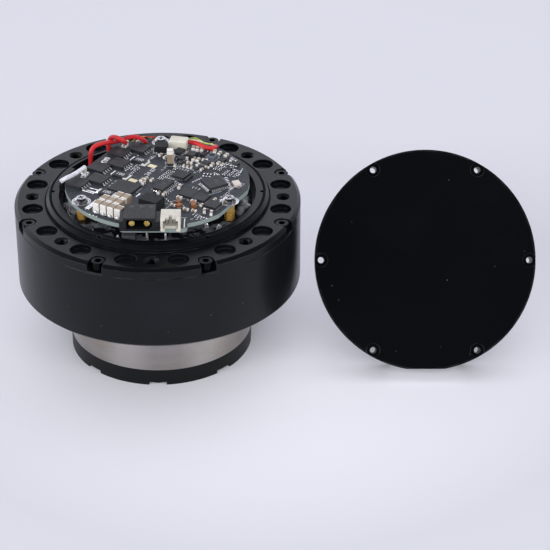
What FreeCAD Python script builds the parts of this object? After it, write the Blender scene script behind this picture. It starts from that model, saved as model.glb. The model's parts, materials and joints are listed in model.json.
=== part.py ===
import FreeCAD, Part
import math
import os

# Robot joint actuator: a flat brushless outrunner motor in an anodised housing, a two-stage
# planetary reducer in a common steel ring gear, and a motor controller board on its rear face.
#
# Frame, in millimetres: the origin is the centre of the output flange's face, +Z runs along the
# rotation axis from the output towards the controller board, and -Y is the connector side.

os.makedirs("parts", exist_ok=True)

# ---------------------------------------------------------------- driving dimensions
HOUSING_D = 98.0          # main and rear housing
GEARBOX_D = 63.5          # ring gear and front cap
BOLT_D = 86.0             # pitch circle of the rear M5 mounting holes

CAP_TOP = 6.0             # front cap, from the base
HOUSING_Z = 26.5          # front face of the main housing
SEAM_Z = 52.5             # main housing meets rear housing
REAR_Z = 56.3             # outer face of the rear housing
RIM_HEIGHT = 2.1          # raised inner rim above the outer face
RIM_CHAMFER = 1.2         # outer top edge of that rim
SEAM_CHAMFER = 0.15       # both sides of the seam
BOARD_Z = 60.9            # underside of the controller board
BOARD_T = 1.6             # board thickness

RIM_D = 76.4              # raised rim, outside
BAY_D = 67.4              # bore of the controller bay
BAY_FLOOR = 54.6          # floor of the controller bay
WALL = 5.5                # main housing wall
PLATE_T = 4.4             # front plate of the main housing
REGISTER = 0.6            # depth the ring gear sits into that plate
LIP = 1.2                 # rim of the main housing outside the rear housing's spigot
SPIGOT = 2.0              # length of that spigot
FIT = 0.05                # radial fit clearance between located pieces
GAP = 0.3                 # axial running clearance

# gears: equal stages, ring fixed, ratio 1 + RING_TEETH / SUN_TEETH each
MODULE = 0.8
SUN_TEETH = 12
PLANET_TEETH = 24
RING_TEETH = 60
PLANETS = 3
BACKLASH = 0.10           # taken off each tooth's thickness at the pitch circle

# ---------------------------------------------------------------- derived dimensions
HOUSING_R = HOUSING_D / 2
GEARBOX_R = GEARBOX_D / 2
RIM_R = RIM_D / 2
RIM_Z = REAR_Z + RIM_HEIGHT
BAY_R = BAY_D / 2
CAVITY_R = HOUSING_R - WALL
SPIGOT_R = HOUSING_R - LIP
SPIGOT_Z = SEAM_Z - SPIGOT
BOARD_TOP = BOARD_Z + BOARD_T
CARRIER_R = MODULE * (SUN_TEETH + PLANET_TEETH) / 2
RING_ROOT_R = MODULE * RING_TEETH / 2 + 1.05 * MODULE
RING_TIP_R = MODULE * RING_TEETH / 2 - 0.8 * MODULE
PLATE_TOP = HOUSING_Z + PLATE_T

OUTPUT_LIP_TOP = 2.6
BEARING_TOP = 9.6
BEARING_R = 26.0
BEARING_BORE_R = 20.0
CARRIER_PLATE_R = BEARING_BORE_R + 1.5
STAGE2_DISC_TOP = 12.0
STAGE2_Z = STAGE2_DISC_TOP + GAP
STAGE2_TOP = STAGE2_Z + 5.5
STAGE1_DISC_Z = STAGE2_TOP + 0.5
STAGE1_DISC_TOP = STAGE1_DISC_Z + 2.0
STAGE1_Z = STAGE1_DISC_TOP + GAP
STAGE1_TOP = STAGE1_Z + 4.0
BOSS_Z = STAGE1_TOP + 0.4

SHAFT_R = 4.0
REAR_SHAFT_R = 5.0
ROTOR_Z = PLATE_TOP + 0.7
ROTOR_TOP = 48.0
ROTOR_R = CAVITY_R - 0.6
ROTOR_WALL = 2.0
AIR_GAP = 0.5
MAGNET_T = 1.9
MAGNETS = 42
STATOR_TEETH = 36
STATOR_R = ROTOR_R - ROTOR_WALL - MAGNET_T - 0.1 - AIR_GAP
STATOR_BORE_R = 28.5
STATOR_Z = PLATE_TOP + 6.0
STATOR_TOP = STATOR_Z + 8.0

SCREW_INSET = 3.0         # rear housing screws, in from the housing's outside
SCREW_CIRCLE_R = HOUSING_R - SCREW_INSET
CAP_SCREW_R = 28.2        # front cap screws
CAP_HEAD_TOP = 2.5        # depth of their recess
COVER_R = RIM_R - 0.2
COVER_DEPTH = 11.1
COVER_SCREW_R = (COVER_R + BAY_R) / 2
STANDOFF_R = 28.7
STANDOFF_ANGLES = (-150, -30, 90)


# ---------------------------------------------------------------- helpers
def vec(x, y, z=0.0):
    return FreeCAD.Vector(x, y, z)


def disc(radius, z0, z1, x=0.0, y=0.0):
    return Part.makeCylinder(radius, z1 - z0, vec(x, y, z0))


def ring(outer, inner, z0, z1, x=0.0, y=0.0):
    return disc(outer, z0, z1, x, y).cut(disc(inner, z0 - 1, z1 + 1, x, y))


def block(size, centre, z0, angle=0.0):
    """A box of size (x, y, z) standing on z0, centred in plan, turned about Z."""
    shape = Part.makeBox(size[0], size[1], size[2], vec(-size[0] / 2, -size[1] / 2, 0))
    shape.rotate(vec(0, 0), vec(0, 0, 1), angle)
    shape.translate(vec(centre[0], centre[1], z0))
    return shape


def lathe(profile):
    """Turn a closed (radius, z) outline about the Z axis."""
    points = [vec(r, 0, z) for r, z in profile]
    face = Part.Face(Part.makePolygon(points + points[:1]))
    return face.revolve(vec(0, 0), vec(0, 0, 1), 360)


def hexagon(across_flats, x=0.0, y=0.0):
    """Corners of a regular hexagon, by its size across the flats."""
    return [(x + cx, y + cy) for cx, cy in (polar(across_flats / math.sqrt(3), a) for a in every(6))]


def prism(points, z0, z1):
    """Raise a closed plan outline from z0 to z1."""
    loop = [vec(x, y, z0) for x, y in points]
    return Part.Face(Part.makePolygon(loop + loop[:1])).extrude(vec(0, 0, z1 - z0))


def polar(radius, degrees):
    angle = math.radians(degrees)
    return radius * math.cos(angle), radius * math.sin(angle)


def turned(shape, degrees):
    copy = shape.copy()
    copy.rotate(vec(0, 0), vec(0, 0, 1), degrees)
    return copy


def around(shape, angles):
    return [turned(shape, angle) for angle in angles]


def every(count, first=0.0):
    return [first + 360.0 * k / count for k in range(count)]


def group(shapes):
    return Part.makeCompound(shapes)


def chamfered(shape, size, test):
    return shape.makeChamfer(size, [edge for edge in shape.Edges if test(edge)])


def circle_at(radius, z):
    """A test for the round edges of one radius at one height."""
    def test(edge):
        curve = edge.Curve
        if not isinstance(curve, Part.Circle):
            return False
        return abs(curve.Radius - radius) < 1e-3 and abs(curve.Center.z - z) < 1e-3
    return test


def cord(points, radius):
    """A round lead along straight runs joined by tangent arcs, whose radii it prints."""
    pts = [vec(*p) for p in points]
    edges = []
    radii = []
    start = pts[0]
    for before, corner, after in zip(pts, pts[1:], pts[2:]):
        back = (before - corner)
        ahead = (after - corner)
        half = (math.pi - back.getAngle(ahead)) / 2
        trim = 0.45 * min(back.Length, ahead.Length)
        bend = trim / math.tan(half)
        radii.append(round(bend, 1))
        back.normalize()
        ahead.normalize()
        first = corner + back * trim
        last = corner + ahead * trim
        inward = (back + ahead).normalize()
        middle = corner + inward * (bend / math.cos(half) - bend)
        edges.append(Part.makeLine(start, first))
        edges.append(Part.Arc(first, middle, last).toShape())
        start = last
    edges.append(Part.makeLine(start, pts[-1]))
    print("lead of radius", radius, "has bends of radius", radii)
    path = Part.Wire(edges)
    section = Part.Wire(Part.makeCircle(radius, pts[0], pts[1] - pts[0]))
    return path.makePipeShell([section], True, True)


def export(node, shape):
    shape.exportStep("parts/" + node + ".step")


# ---------------------------------------------------------------- gear outlines
def involute(angle):
    return math.tan(angle) - angle


def half_tooth(teeth, radius, thinner=0.0):
    """Half angular thickness, in degrees, of an involute tooth at a radius."""
    pressure = math.radians(20)
    pitch_r = MODULE * teeth / 2
    base_r = pitch_r * math.cos(pressure)
    here = math.acos(base_r / radius) if radius > base_r else 0.0
    half = math.pi / (2 * teeth) - thinner / (2 * pitch_r)
    return math.degrees(half + involute(pressure) - involute(here))


def gear_outline(teeth, inner_r, outer_r, thinner):
    """Closed outline with one tooth centred on +X: root, flank, tip, flank for each tooth."""
    low = half_tooth(teeth, inner_r, thinner)
    high = half_tooth(teeth, outer_r, thinner)
    points = []
    for centre in every(teeth):
        points.append(polar(inner_r, centre - low))
        points.append(polar(outer_r, centre - high))
        points.append(polar(outer_r, centre + high))
        points.append(polar(inner_r, centre + low))
    return points


def external_gear(teeth, z0, z1):
    pitch_r = MODULE * teeth / 2
    outline = gear_outline(teeth, pitch_r - 1.05 * MODULE, pitch_r + 0.8 * MODULE, BACKLASH)
    return prism(outline, z0, z1)


def ring_gear_space(z0, z1):
    """The space inside the ring gear: a spur gear with its spaces centred on +X."""
    outline = gear_outline(RING_TEETH, RING_TIP_R, RING_ROOT_R, -BACKLASH)
    return turned(prism(outline, z0, z1), 180.0 / RING_TEETH)


# ---------------------------------------------------------------- front cap and ring gear
def front_cap():
    cap = lathe([(23.2, 0), (GEARBOX_R, 0), (GEARBOX_R, CAP_TOP), (BEARING_R + FIT, CAP_TOP),
                 (BEARING_R + FIT, OUTPUT_LIP_TOP), (23.2, OUTPUT_LIP_TOP)])
    notch = block((GEARBOX_R - CAP_SCREW_R + 1, 6.0, 1.1), ((GEARBOX_R + CAP_SCREW_R + 1) / 2, 0), 0)
    recess = disc(2.85, -1, CAP_HEAD_TOP, CAP_SCREW_R)
    shank = disc(1.6, 1, CAP_TOP + 1, CAP_SCREW_R)
    for cut in (notch, recess, shank):
        cap = cap.cut(group(around(cut, every(8, 90))))
    return cap


def front_cap_screws():
    head = disc(2.7, CAP_HEAD_TOP - 2.2, CAP_HEAD_TOP, CAP_SCREW_R)
    head = head.cut(prism(hexagon(2.5, CAP_SCREW_R), -1, CAP_HEAD_TOP - 0.9))
    shank = disc(1.25, CAP_HEAD_TOP, 12.0, CAP_SCREW_R)
    return group(around(head.fuse(shank), every(8, 90)))


def ring_gear():
    top = HOUSING_Z + REGISTER
    body = lathe([(BEARING_R + FIT, CAP_TOP), (GEARBOX_R, CAP_TOP), (GEARBOX_R, top),
                  (RING_ROOT_R + 0.7, top), (RING_ROOT_R + 0.7, BOSS_Z),
                  (20.0, BOSS_Z), (20.0, BEARING_TOP), (BEARING_R + FIT, BEARING_TOP)])
    body = body.cut(ring_gear_space(BEARING_TOP - 1, BOSS_Z + 1))
    body = body.cut(disc(CARRIER_PLATE_R + 0.4, BEARING_TOP - 1, STAGE2_DISC_TOP + 0.15))
    body = body.cut(group(around(disc(1.3, CAP_TOP - 1, 12.3, CAP_SCREW_R), every(8, 90))))
    return body.cut(group(around(disc(1.3, 20.0, top + 1, 28.9), every(6))))


# ---------------------------------------------------------------- housings
def main_housing():
    profile = [(8.0 + FIT, PLATE_TOP), (8.0 + FIT, BOSS_Z + 1.2), (6.4, BOSS_Z + 1.2), (6.4, BOSS_Z),
               (RING_ROOT_R + 0.7 - FIT, BOSS_Z), (RING_ROOT_R + 0.7 - FIT, HOUSING_Z + REGISTER),
               (GEARBOX_R + FIT, HOUSING_Z + REGISTER), (GEARBOX_R + FIT, HOUSING_Z),
               (HOUSING_R - 0.8, HOUSING_Z), (HOUSING_R, HOUSING_Z + 0.8),
               (HOUSING_R, SEAM_Z - SEAM_CHAMFER), (HOUSING_R - SEAM_CHAMFER, SEAM_Z), (SPIGOT_R, SEAM_Z),
               (SPIGOT_R, SPIGOT_Z), (CAVITY_R, SPIGOT_Z), (CAVITY_R, PLATE_TOP)]
    body = lathe(profile)
    recess = disc(2.35, PLATE_TOP - 2.7, PLATE_TOP + 1, 28.9)
    shank = disc(1.6, HOUSING_Z - 1, PLATE_TOP, 28.9)
    body = body.cut(group(around(recess.fuse(shank), every(6))))
    tapped = disc(1.05, SPIGOT_Z - 6, SPIGOT_Z + 1, SCREW_CIRCLE_R)
    return body.cut(group(around(tapped, every(8, 22.5))))


def gearbox_screws():
    head = disc(2.25, PLATE_TOP - 2.7, PLATE_TOP - 0.1, 28.9)
    shank = disc(1.25, 20.3, PLATE_TOP - 2.7, 28.9)
    return group(around(head.fuse(shank), every(6)))


def rear_housing():
    edge = 1.1
    hub_r = 13.0
    seam_r = HOUSING_R - SEAM_CHAMFER
    profile = [(9.5 + FIT, 46.4), (9.5 + FIT, 51.6), (7.0, 51.6), (7.0, BAY_FLOOR), (BAY_R, BAY_FLOOR),
               (BAY_R, RIM_Z), (RIM_R - RIM_CHAMFER, RIM_Z), (RIM_R, RIM_Z - RIM_CHAMFER), (RIM_R, REAR_Z),
               (HOUSING_R - edge, REAR_Z), (HOUSING_R, REAR_Z - edge), (HOUSING_R, SEAM_Z + SEAM_CHAMFER),
               (seam_r, SEAM_Z), (SPIGOT_R - FIT, SEAM_Z),
               (SPIGOT_R - FIT, SPIGOT_Z), (CAVITY_R - 4.0, SPIGOT_Z), (CAVITY_R - 6.0, 51.2),
               (STATOR_BORE_R, 51.2), (STATOR_BORE_R, STATOR_TOP), (STATOR_BORE_R - FIT, STATOR_TOP),
               (STATOR_BORE_R - FIT, STATOR_Z), (25.5, STATOR_Z), (25.5, 51.2), (hub_r, 51.2),
               (hub_r, 46.4)]
    body = lathe(profile)
    # eight M5 mounting holes with a light lead-in chamfer
    hole = disc(2.1, REAR_Z - 5.2, REAR_Z + 1, BOLT_D / 2)
    lead = Part.makeCone(2.1, 2.5, 0.4, vec(BOLT_D / 2, 0, REAR_Z - 0.4))
    body = body.cut(group(around(hole, every(8, 90)))).cut(group(around(lead, every(8, 90))))
    # a shallow round pocket either side of each mounting hole
    pocket = disc(3.65, REAR_Z - 1.6, REAR_Z + 1, BOLT_D / 2)
    pockets = [turned(pocket, angle + side) for angle in every(8, 90) for side in (-11.6, 11.6)]
    body = body.cut(group(pockets))
    # screw notches, open to the outside
    slot = block((HOUSING_R - SCREW_CIRCLE_R + 1, 5.3, 4), ((HOUSING_R + SCREW_CIRCLE_R + 1) / 2, 0), 53.0)
    notch = disc(2.65, 53.0, 57.0, SCREW_CIRCLE_R).fuse(slot)
    notch = notch.fuse(disc(1.3, SPIGOT_Z - 1, 54, SCREW_CIRCLE_R))
    body = body.cut(group(around(notch, every(8, 22.5))))
    # tapped holes for the cover and the standoffs
    body = body.cut(group(around(disc(0.8, RIM_Z - 3, RIM_Z + 1, COVER_SCREW_R), every(6))))
    body = body.cut(group(around(disc(0.8, BAY_FLOOR - 3, BAY_FLOOR + 1, STANDOFF_R), STANDOFF_ANGLES)))
    return body.cut(lead_window())


def lead_window():
    """Kidney slot through floor and rim, where the motor leads come up beside the board."""
    start, stop, inner, outer = 123.0, 151.0, 29.8, 35.3
    middle = (start + stop) / 2
    arc_out = Part.Arc(*[vec(*polar(outer, a)) for a in (start, middle, stop)])
    arc_in = Part.Arc(*[vec(*polar(inner, a)) for a in (stop, middle, start)])
    sides = [Part.makeLine(vec(*polar(outer, stop)), vec(*polar(inner, stop))),
             Part.makeLine(vec(*polar(inner, start)), vec(*polar(outer, start)))]
    loop = Part.Wire([arc_out.toShape(), sides[0], arc_in.toShape(), sides[1]])
    slot = Part.Face(loop).extrude(vec(0, 0, 12))
    slot.translate(vec(0, 0, 50))
    return slot


def rear_housing_screws():
    head = disc(2.25, 53.0, 56.04, SCREW_CIRCLE_R)
    socket = prism(hexagon(2.0, SCREW_CIRCLE_R), 54.6, 57.0)
    shank = disc(1.0, 45.0, 53.0, SCREW_CIRCLE_R)
    return group(around(head.cut(socket).fuse(shank), every(8, 22.5)))


# ---------------------------------------------------------------- output side
def output_flange():
    """Output flange with a pilot bore and six tapped holes, carried inside the bearing."""
    flange = lathe([(6.0, 0), (22.7, 0), (22.7, OUTPUT_LIP_TOP), (BEARING_BORE_R, OUTPUT_LIP_TOP),
                    (BEARING_BORE_R, BEARING_TOP), (3.0, BEARING_TOP), (3.0, 6.0), (6.0, 6.0)])
    flange = flange.cut(group(around(disc(1.65, -1, 7.5, 14.0), every(6))))
    return flange.cut(group(around(disc(1.05, 4.0, BEARING_TOP + 1, 14.0), every(3, 30))))


def output_carrier():
    plate = ring(CARRIER_PLATE_R, 3.0, BEARING_TOP, STAGE2_DISC_TOP)
    pins = around(disc(2.0, STAGE2_DISC_TOP, STAGE2_TOP + 0.2, CARRIER_R), every(PLANETS))
    plate = plate.multiFuse(pins)
    hole = disc(1.3, BEARING_TOP - 1, STAGE2_DISC_TOP, 14.0)
    recess = disc(2.6, STAGE2_DISC_TOP - 1.4, STAGE2_DISC_TOP + 1, 14.0)
    return plate.cut(group(around(hole.fuse(recess), every(3, 30))))


def carrier_screws():
    head = disc(2.5, STAGE2_DISC_TOP - 1.4, STAGE2_DISC_TOP, 14.0)
    return group(around(head.fuse(disc(1.0, 5.0, STAGE2_DISC_TOP - 1.4, 14.0)), every(3, 30)))


def planet(z0, z1):
    """One planet on the +X side, a space facing the sun and another facing the ring."""
    gear = turned(external_gear(PLANET_TEETH, z0, z1), 180.0 / PLANET_TEETH)
    gear.translate(vec(CARRIER_R, 0))
    return gear.cut(disc(2.0 + FIT, z0 - 1, z1 + 1, CARRIER_R))


def stage1_carrier():
    plate = disc(CARRIER_R + 4.2, STAGE1_DISC_Z, STAGE1_DISC_TOP)
    plate = plate.cut(disc(3.0, STAGE1_DISC_Z - 1, STAGE1_DISC_TOP + 1))
    pins = around(disc(2.0, STAGE1_DISC_TOP, STAGE1_TOP + 0.2, CARRIER_R), every(PLANETS))
    windows = around(disc(3.2, STAGE1_DISC_Z - 1, STAGE1_DISC_TOP + 1, 12.6), every(PLANETS, 60))
    return plate.multiFuse(pins).cut(group(windows))


def stage2_sun():
    """Second-stage sun, its stem pressed into the first-stage carrier."""
    return external_gear(SUN_TEETH, STAGE2_Z, STAGE1_DISC_Z).fuse(disc(3.0, STAGE1_DISC_Z, STAGE1_DISC_TOP))


# ---------------------------------------------------------------- motor
def rotor_shaft():
    return lathe([(0, STAGE1_TOP), (SHAFT_R, STAGE1_TOP), (SHAFT_R, ROTOR_Z), (7.0, ROTOR_Z),
                  (7.0, ROTOR_Z + 5.0), (REAR_SHAFT_R, ROTOR_Z + 5.0), (REAR_SHAFT_R, 52.0),
                  (2.5, 52.0), (2.5, 56.0), (0, 56.0)])


def rotor_can():
    top = ROTOR_Z + 2.5
    can = lathe([(7.0, ROTOR_Z), (ROTOR_R, ROTOR_Z), (ROTOR_R, ROTOR_TOP), (ROTOR_R - ROTOR_WALL, ROTOR_TOP),
                 (ROTOR_R - ROTOR_WALL, top), (10.5, top), (10.5, top + 2.5), (7.0, top + 2.5)])
    windows = around(disc(7.5, ROTOR_Z - 1, top + 1, 23.5), every(6))
    return can.cut(group(windows))


def magnets():
    outer = ROTOR_R - ROTOR_WALL - 0.1
    bar = block((MAGNET_T, 5.0, 10.0), (outer - MAGNET_T / 2, 0), STATOR_Z - 1.0)
    return group(around(bar, every(MAGNETS)))


def stator_core():
    """Laminated stator: a back ring, and teeth that end in shoes at the air gap."""
    back_r = STATOR_BORE_R + 3.5
    shoe_r = STATOR_R - 1.0
    pitch = 360.0 / STATOR_TEETH
    points = []
    for centre in every(STATOR_TEETH):
        tooth_low = math.degrees(1.3 / back_r)
        tooth_high = math.degrees(1.3 / shoe_r)
        shoe = pitch / 2 - math.degrees(0.7 / STATOR_R)
        steps = [(back_r, -tooth_low), (shoe_r, -tooth_high), (shoe_r + 0.3, -shoe), (STATOR_R, -shoe),
                 (STATOR_R, shoe), (shoe_r + 0.3, shoe), (shoe_r, tooth_high), (back_r, tooth_low)]
        points += [polar(radius, centre + offset) for radius, offset in steps]
    core = prism(points, STATOR_Z, STATOR_TOP)
    return core.cut(disc(STATOR_BORE_R, STATOR_Z - 1, STATOR_TOP + 1))


def windings():
    """One coil round each stator tooth, standing proud of the core at both ends."""
    inner = STATOR_BORE_R + 4.0
    outer = STATOR_R - 1.3
    size = (outer - inner, 4.9, STATOR_TOP - STATOR_Z + 3.0)
    coil = block(size, ((inner + outer) / 2, 0), STATOR_Z - 1.5)
    core = block((size[0] + 2, 2.8, STATOR_TOP - STATOR_Z + 0.2), ((inner + outer) / 2, 0), STATOR_Z - 0.1)
    return group(around(coil.cut(core), every(STATOR_TEETH)))


def race_pair(inner_r, outer_r, z0, z1):
    """Inner and outer bearing rings; the outer carries the shields, and a running gap is left."""
    split = (inner_r + outer_r) / 2
    web = (outer_r - inner_r) * 0.22
    inner = ring(inner_r + web, inner_r, z0, z1)
    outer = lathe([(inner_r + web + 0.25, z0 + 0.3), (outer_r, z0 + 0.3), (outer_r, z1 - 0.3),
                   (inner_r + web + 0.25, z1 - 0.3), (inner_r + web + 0.25, z1 - 0.8),
                   (split, z1 - 0.8), (split, z0 + 0.8), (inner_r + web + 0.25, z0 + 0.8)])
    return inner, outer


# ---------------------------------------------------------------- controller board
def board_plate():
    """Round board with two straight sides and a square tab for the connectors."""
    radius = 31.5
    plate = disc(radius, BOARD_Z, BOARD_TOP)
    tab = block((22.3, 20.0, BOARD_T), (0.15, -22.7), BOARD_Z)
    corners = [edge for edge in tab.Edges if edge.Length < BOARD_T + 0.1 and edge.Vertexes[0].Y < -30]
    plate = plate.fuse(tab.makeFillet(1.5, corners))
    for angle, reach in ((150, 26.6), (-30, 30.1)):
        side = Part.makeBox(20, 80, 4, vec(reach, -40, BOARD_Z - 1))
        plate = plate.cut(turned(side, angle))
    holes = around(disc(1.1, BOARD_Z - 1, BOARD_TOP + 1, STANDOFF_R), STANDOFF_ANGLES)
    return plate.cut(group(holes)).removeSplitter()


def standoffs():
    """Hexagonal spacers between the bay floor and the board, tapped at the top."""
    shapes = []
    for angle in STANDOFF_ANGLES:
        x, y = polar(STANDOFF_R, angle)
        post = prism(hexagon(3.0, x, y), BAY_FLOOR, BOARD_Z)
        shapes.append(post.cut(disc(0.8, BOARD_Z - 4, BOARD_Z + 1, x, y)))
    return group(shapes)


def board_screws():
    shapes = []
    for angle in STANDOFF_ANGLES:
        x, y = polar(STANDOFF_R, angle)
        head = disc(2.2, BOARD_TOP, BOARD_TOP + 1.6, x, y)
        head = chamfered(head, 0.6, circle_at(2.2, BOARD_TOP + 1.6))
        for slot in ((2.2, 0.5, 1), (0.5, 2.2, 1)):
            head = head.cut(block(slot, (x, y), BOARD_TOP + 0.9, angle))
        shapes.append(head.fuse(disc(0.75, BOARD_Z - 3, BOARD_TOP, x, y)))
    return group(shapes)


def along_chord(along, away):
    """A point on the board, measured along its long straight side and away from the centre."""
    ux, uy = polar(1, 60)
    nx, ny = polar(1, 150)
    return along * ux + away * nx, along * uy + away * ny


def chips(table):
    """A compound of plain bodies on the board from (x, y, size x, size y, height, angle) rows."""
    return group([block((dx, dy, h), (x, y), BOARD_TOP, angle) for x, y, dx, dy, h, angle in table])


MOSFETS = [along_chord(u, 22.2) for u in (-15.7, -2.8, 10.1)]
MOSFETS += [along_chord(u, 17.7) for u in (-9.7, 3.4, 16.4)]
SHUNTS = [along_chord(*spot) for spot in ((-16.2, 9.9), (-3.2, 13.0), (9.0, 13.0))]
BULK_ROWS = (((-18.6, -20.9), 4), ((-16.6, -17.6), 3), ((-12.0, -15.6), 2))
BULK_PITCH = (2.45, -1.415)
LOGIC = [(8.0, 3.6, 5.0, 5.0, 0.9, -30), (2.4, -4.8, 7.6, 3.9, 1.4, 60), (11.0, -10.0, 5.0, 5.0, 1.0, -30),
         (15.3, -12.8, 5.0, 4.6, 1.0, -30), (19.4, -17.7, 4.6, 4.6, 1.0, -30)]
PROCESSOR = (19.6, -3.1, 7.0, 7.0, 1.4, 30)


def bulk_capacitors():
    shapes = []
    for (x, y), count in BULK_ROWS:
        for k in range(count):
            centre = (x + k * BULK_PITCH[0], y + k * BULK_PITCH[1])
            shapes.append(block((3.2, 2.5, 3.5), centre, BOARD_TOP, 60))
    return group(shapes)


def power_connector():
    """Two-pole power socket: a body with an open front, side lugs, and chamfered mouth corners."""
    x0, x1, y0, y1, height = -9.5, 0.9, -34.6, -24.9, 4.8
    outline = [(x0, BOARD_TOP), (x1, BOARD_TOP), (x1, BOARD_TOP + height), (x0, BOARD_TOP + height)]
    face = [vec(x, y0, z) for x, z in outline]
    body = Part.Face(Part.makePolygon(face + face[:1])).extrude(vec(0, y1 - y0, 0))
    cut = 1.0
    left, right = x0 + 0.9, x1 - 0.9
    low, high = BOARD_TOP + 0.7, BOARD_TOP + height - 0.7
    mouth = [(left, low), (right - cut, low), (right, low + cut), (right, high - cut), (right - cut, high),
             (left, high)]
    loop = [vec(x, y0 - 1, z) for x, z in mouth]
    body = body.cut(Part.Face(Part.makePolygon(loop + loop[:1])).extrude(vec(0, 9.0, 0)))
    lugs = [Part.makeBox(1.4, 7.0, 3.6, vec(x0 - 1.4, y0, BOARD_TOP)),
            Part.makeBox(1.6, 7.0, 3.6, vec(x1, y0, BOARD_TOP))]
    return body.multiFuse(lugs).removeSplitter()


def power_pins():
    middle = -4.3
    pins = []
    for x in (middle - 2.5, middle + 2.5):
        pins.append(Part.makeCylinder(1.0, 7.2, vec(x, -33.8, BOARD_TOP + 2.4), vec(0, 1, 0)))
    return group(pins)


def signal_connector():
    """Four-pole signal header lying on the board, open to the front, slotted on top."""
    x0, x1, y0, y1, height = 2.7, 9.2, -34.9, -28.3, 4.8
    wall = 0.75
    body = Part.makeBox(x1 - x0, y1 - y0, height, vec(x0, y0, BOARD_TOP))
    hollow = Part.makeBox(x1 - x0 - 2 * wall, 5.4, height - 1.8, vec(x0 + wall, y0 - 1, BOARD_TOP + 0.9))
    body = body.cut(hollow)
    middle = (x0 + x1) / 2
    body = body.cut(Part.makeBox(1.0, 3.6, 2, vec(middle - 0.5, y0 - 1, BOARD_TOP + height - 1)))
    body = body.cut(Part.makeBox(3.8, 3.0, 2, vec(middle - 1.9, y0 - 1, BOARD_TOP - 1)))
    return body.cut(Part.makeBox(3.6, 2.2, 2, vec(middle - 1.8, y0 - 1, BOARD_TOP + height - 1)))


def signal_pins():
    shapes = []
    for k in range(4):
        x = 5.95 + (k - 1.5) * 1.25
        shapes.append(Part.makeBox(0.4, 3.3, 0.4, vec(x - 0.2, -33.8, BOARD_TOP + 2.2)))
    return group(shapes)


def sensor_plug():
    """Small white wire-to-board plug at the rear edge of the board."""
    body = block((6.4, 4.4, 3.2), (6.4, 25.2), BOARD_TOP, -12)
    return body.makeChamfer(0.5, [edge for edge in body.Edges if edge.BoundBox.ZMin > BOARD_TOP + 3])


# ---------------------------------------------------------------- rear cover
def rear_cover():
    """Cap for the controller bay, open below, cut away on the connector side."""
    radius, depth, top, wall = COVER_R, COVER_DEPTH, 1.6, COVER_R - BAY_R - 0.2
    cover = lathe([(0, 0), (radius - 0.5, 0), (radius, -0.5), (radius, -depth), (radius - wall, -depth),
                   (radius - wall, -top), (0, -top)])
    cover = cover.cut(Part.makeBox(80, 10, 40, vec(-40, -radius + 0.57 - 10, -20)))
    cover = cover.cut(Part.makeBox(23.6, 12, depth - top - 0.2, vec(-11.6, -radius - 2, -depth - 0.2)))
    hole = disc(1.1, -depth - 1, 1, COVER_SCREW_R)
    sink = disc(2.35, -0.9, 1, COVER_SCREW_R)
    return cover.cut(group(around(hole, every(6)))).cut(group(around(sink, every(6))))


def placed_cover():
    """The cover taken off, standing on its flat beside the housing and leaning back."""
    cover = rear_cover()
    cover.rotate(vec(0, 0), vec(1, 0, 0), 59.0)
    cover.translate(vec(HOUSING_R + COVER_R + 4.9, -9.6, 0))
    cover.translate(vec(0, 0, -cover.optimalBoundingBox(False).ZMin))
    return cover


# ---------------------------------------------------------------- build every node
export("front_cap", front_cap())
export("front_cap_screws", front_cap_screws())
export("ring_gear", ring_gear())
export("main_housing", main_housing())
export("gearbox_screws", gearbox_screws())
export("rear_housing", rear_housing())
export("rear_housing_screws", rear_housing_screws())

export("output_flange", output_flange())
export("output_carrier", output_carrier())
export("carrier_screws", carrier_screws())
export("stage1_carrier", stage1_carrier())
export("stage2_sun", stage2_sun())
export("stage1_sun", external_gear(SUN_TEETH, STAGE1_Z, STAGE1_TOP))
for index, angle in enumerate(every(PLANETS)):
    letter = "abc"[index]
    export("stage2_planet_" + letter, turned(planet(STAGE2_Z, STAGE2_TOP), angle))
    export("stage1_planet_" + letter, turned(planet(STAGE1_Z, STAGE1_TOP), angle))

export("rotor_shaft", rotor_shaft())
export("rotor_can", rotor_can())
export("magnets", magnets())
export("stator_core", stator_core())
export("windings", windings())
export("encoder_magnet", disc(3.0, 56.0, 58.5))

BEARINGS = {"output_bearing": (BEARING_BORE_R, BEARING_R, OUTPUT_LIP_TOP, BEARING_TOP),
            "front_bearing": (SHAFT_R, 8.0, BOSS_Z + 1.2, BOSS_Z + 5.2),
            "rear_bearing": (REAR_SHAFT_R, 9.5, 46.6, 51.6)}
for name, size in BEARINGS.items():
    inner_ring, outer_ring = race_pair(*size)
    export(name + "_inner", inner_ring)
    export(name + "_outer", outer_ring)

export("controller_board", board_plate())
export("standoffs", standoffs())
export("board_screws", board_screws())
export("power_transistors", chips([(x, y, 6.2, 5.6, 1.0, -30) for x, y in MOSFETS]))
export("shunt_resistors", chips([(x, y, 5.0, 3.0, 0.7, -30) for x, y in SHUNTS]))
export("bulk_capacitors", bulk_capacitors())
export("logic_chips", chips(LOGIC))
export("processor", chips([PROCESSOR]))
export("power_inductor", chips([(-1.0, -18.4, 6.9, 5.4, 3.7, -30)]))
export("small_capacitors", chips([(7.8, -15.4, 1.9, 1.6, 0.9, 60), (8.1, -17.9, 1.9, 1.6, 0.9, 60),
                                  (12.9, -17.9, 3.0, 1.7, 1.4, 100)]))
export("crystal", chips([(27.1, -2.6, 3.2, 2.5, 0.8, -70)]))
export("standing_capacitor", chips([(4.0, 12.2, 2.2, 2.4, 5.6, 0)]))
export("bus_choke", chips([(0.4, 22.4, 4.6, 4.0, 2.4, 0)]))
export("encoder_chip", block((5.0, 4.0, 1.0), (0, 0), BOARD_Z - 1.0))
export("power_connector", power_connector())
export("power_pins", power_pins())
export("signal_connector", signal_connector())
export("signal_pins", signal_pins())
export("sensor_plug", sensor_plug())

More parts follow.
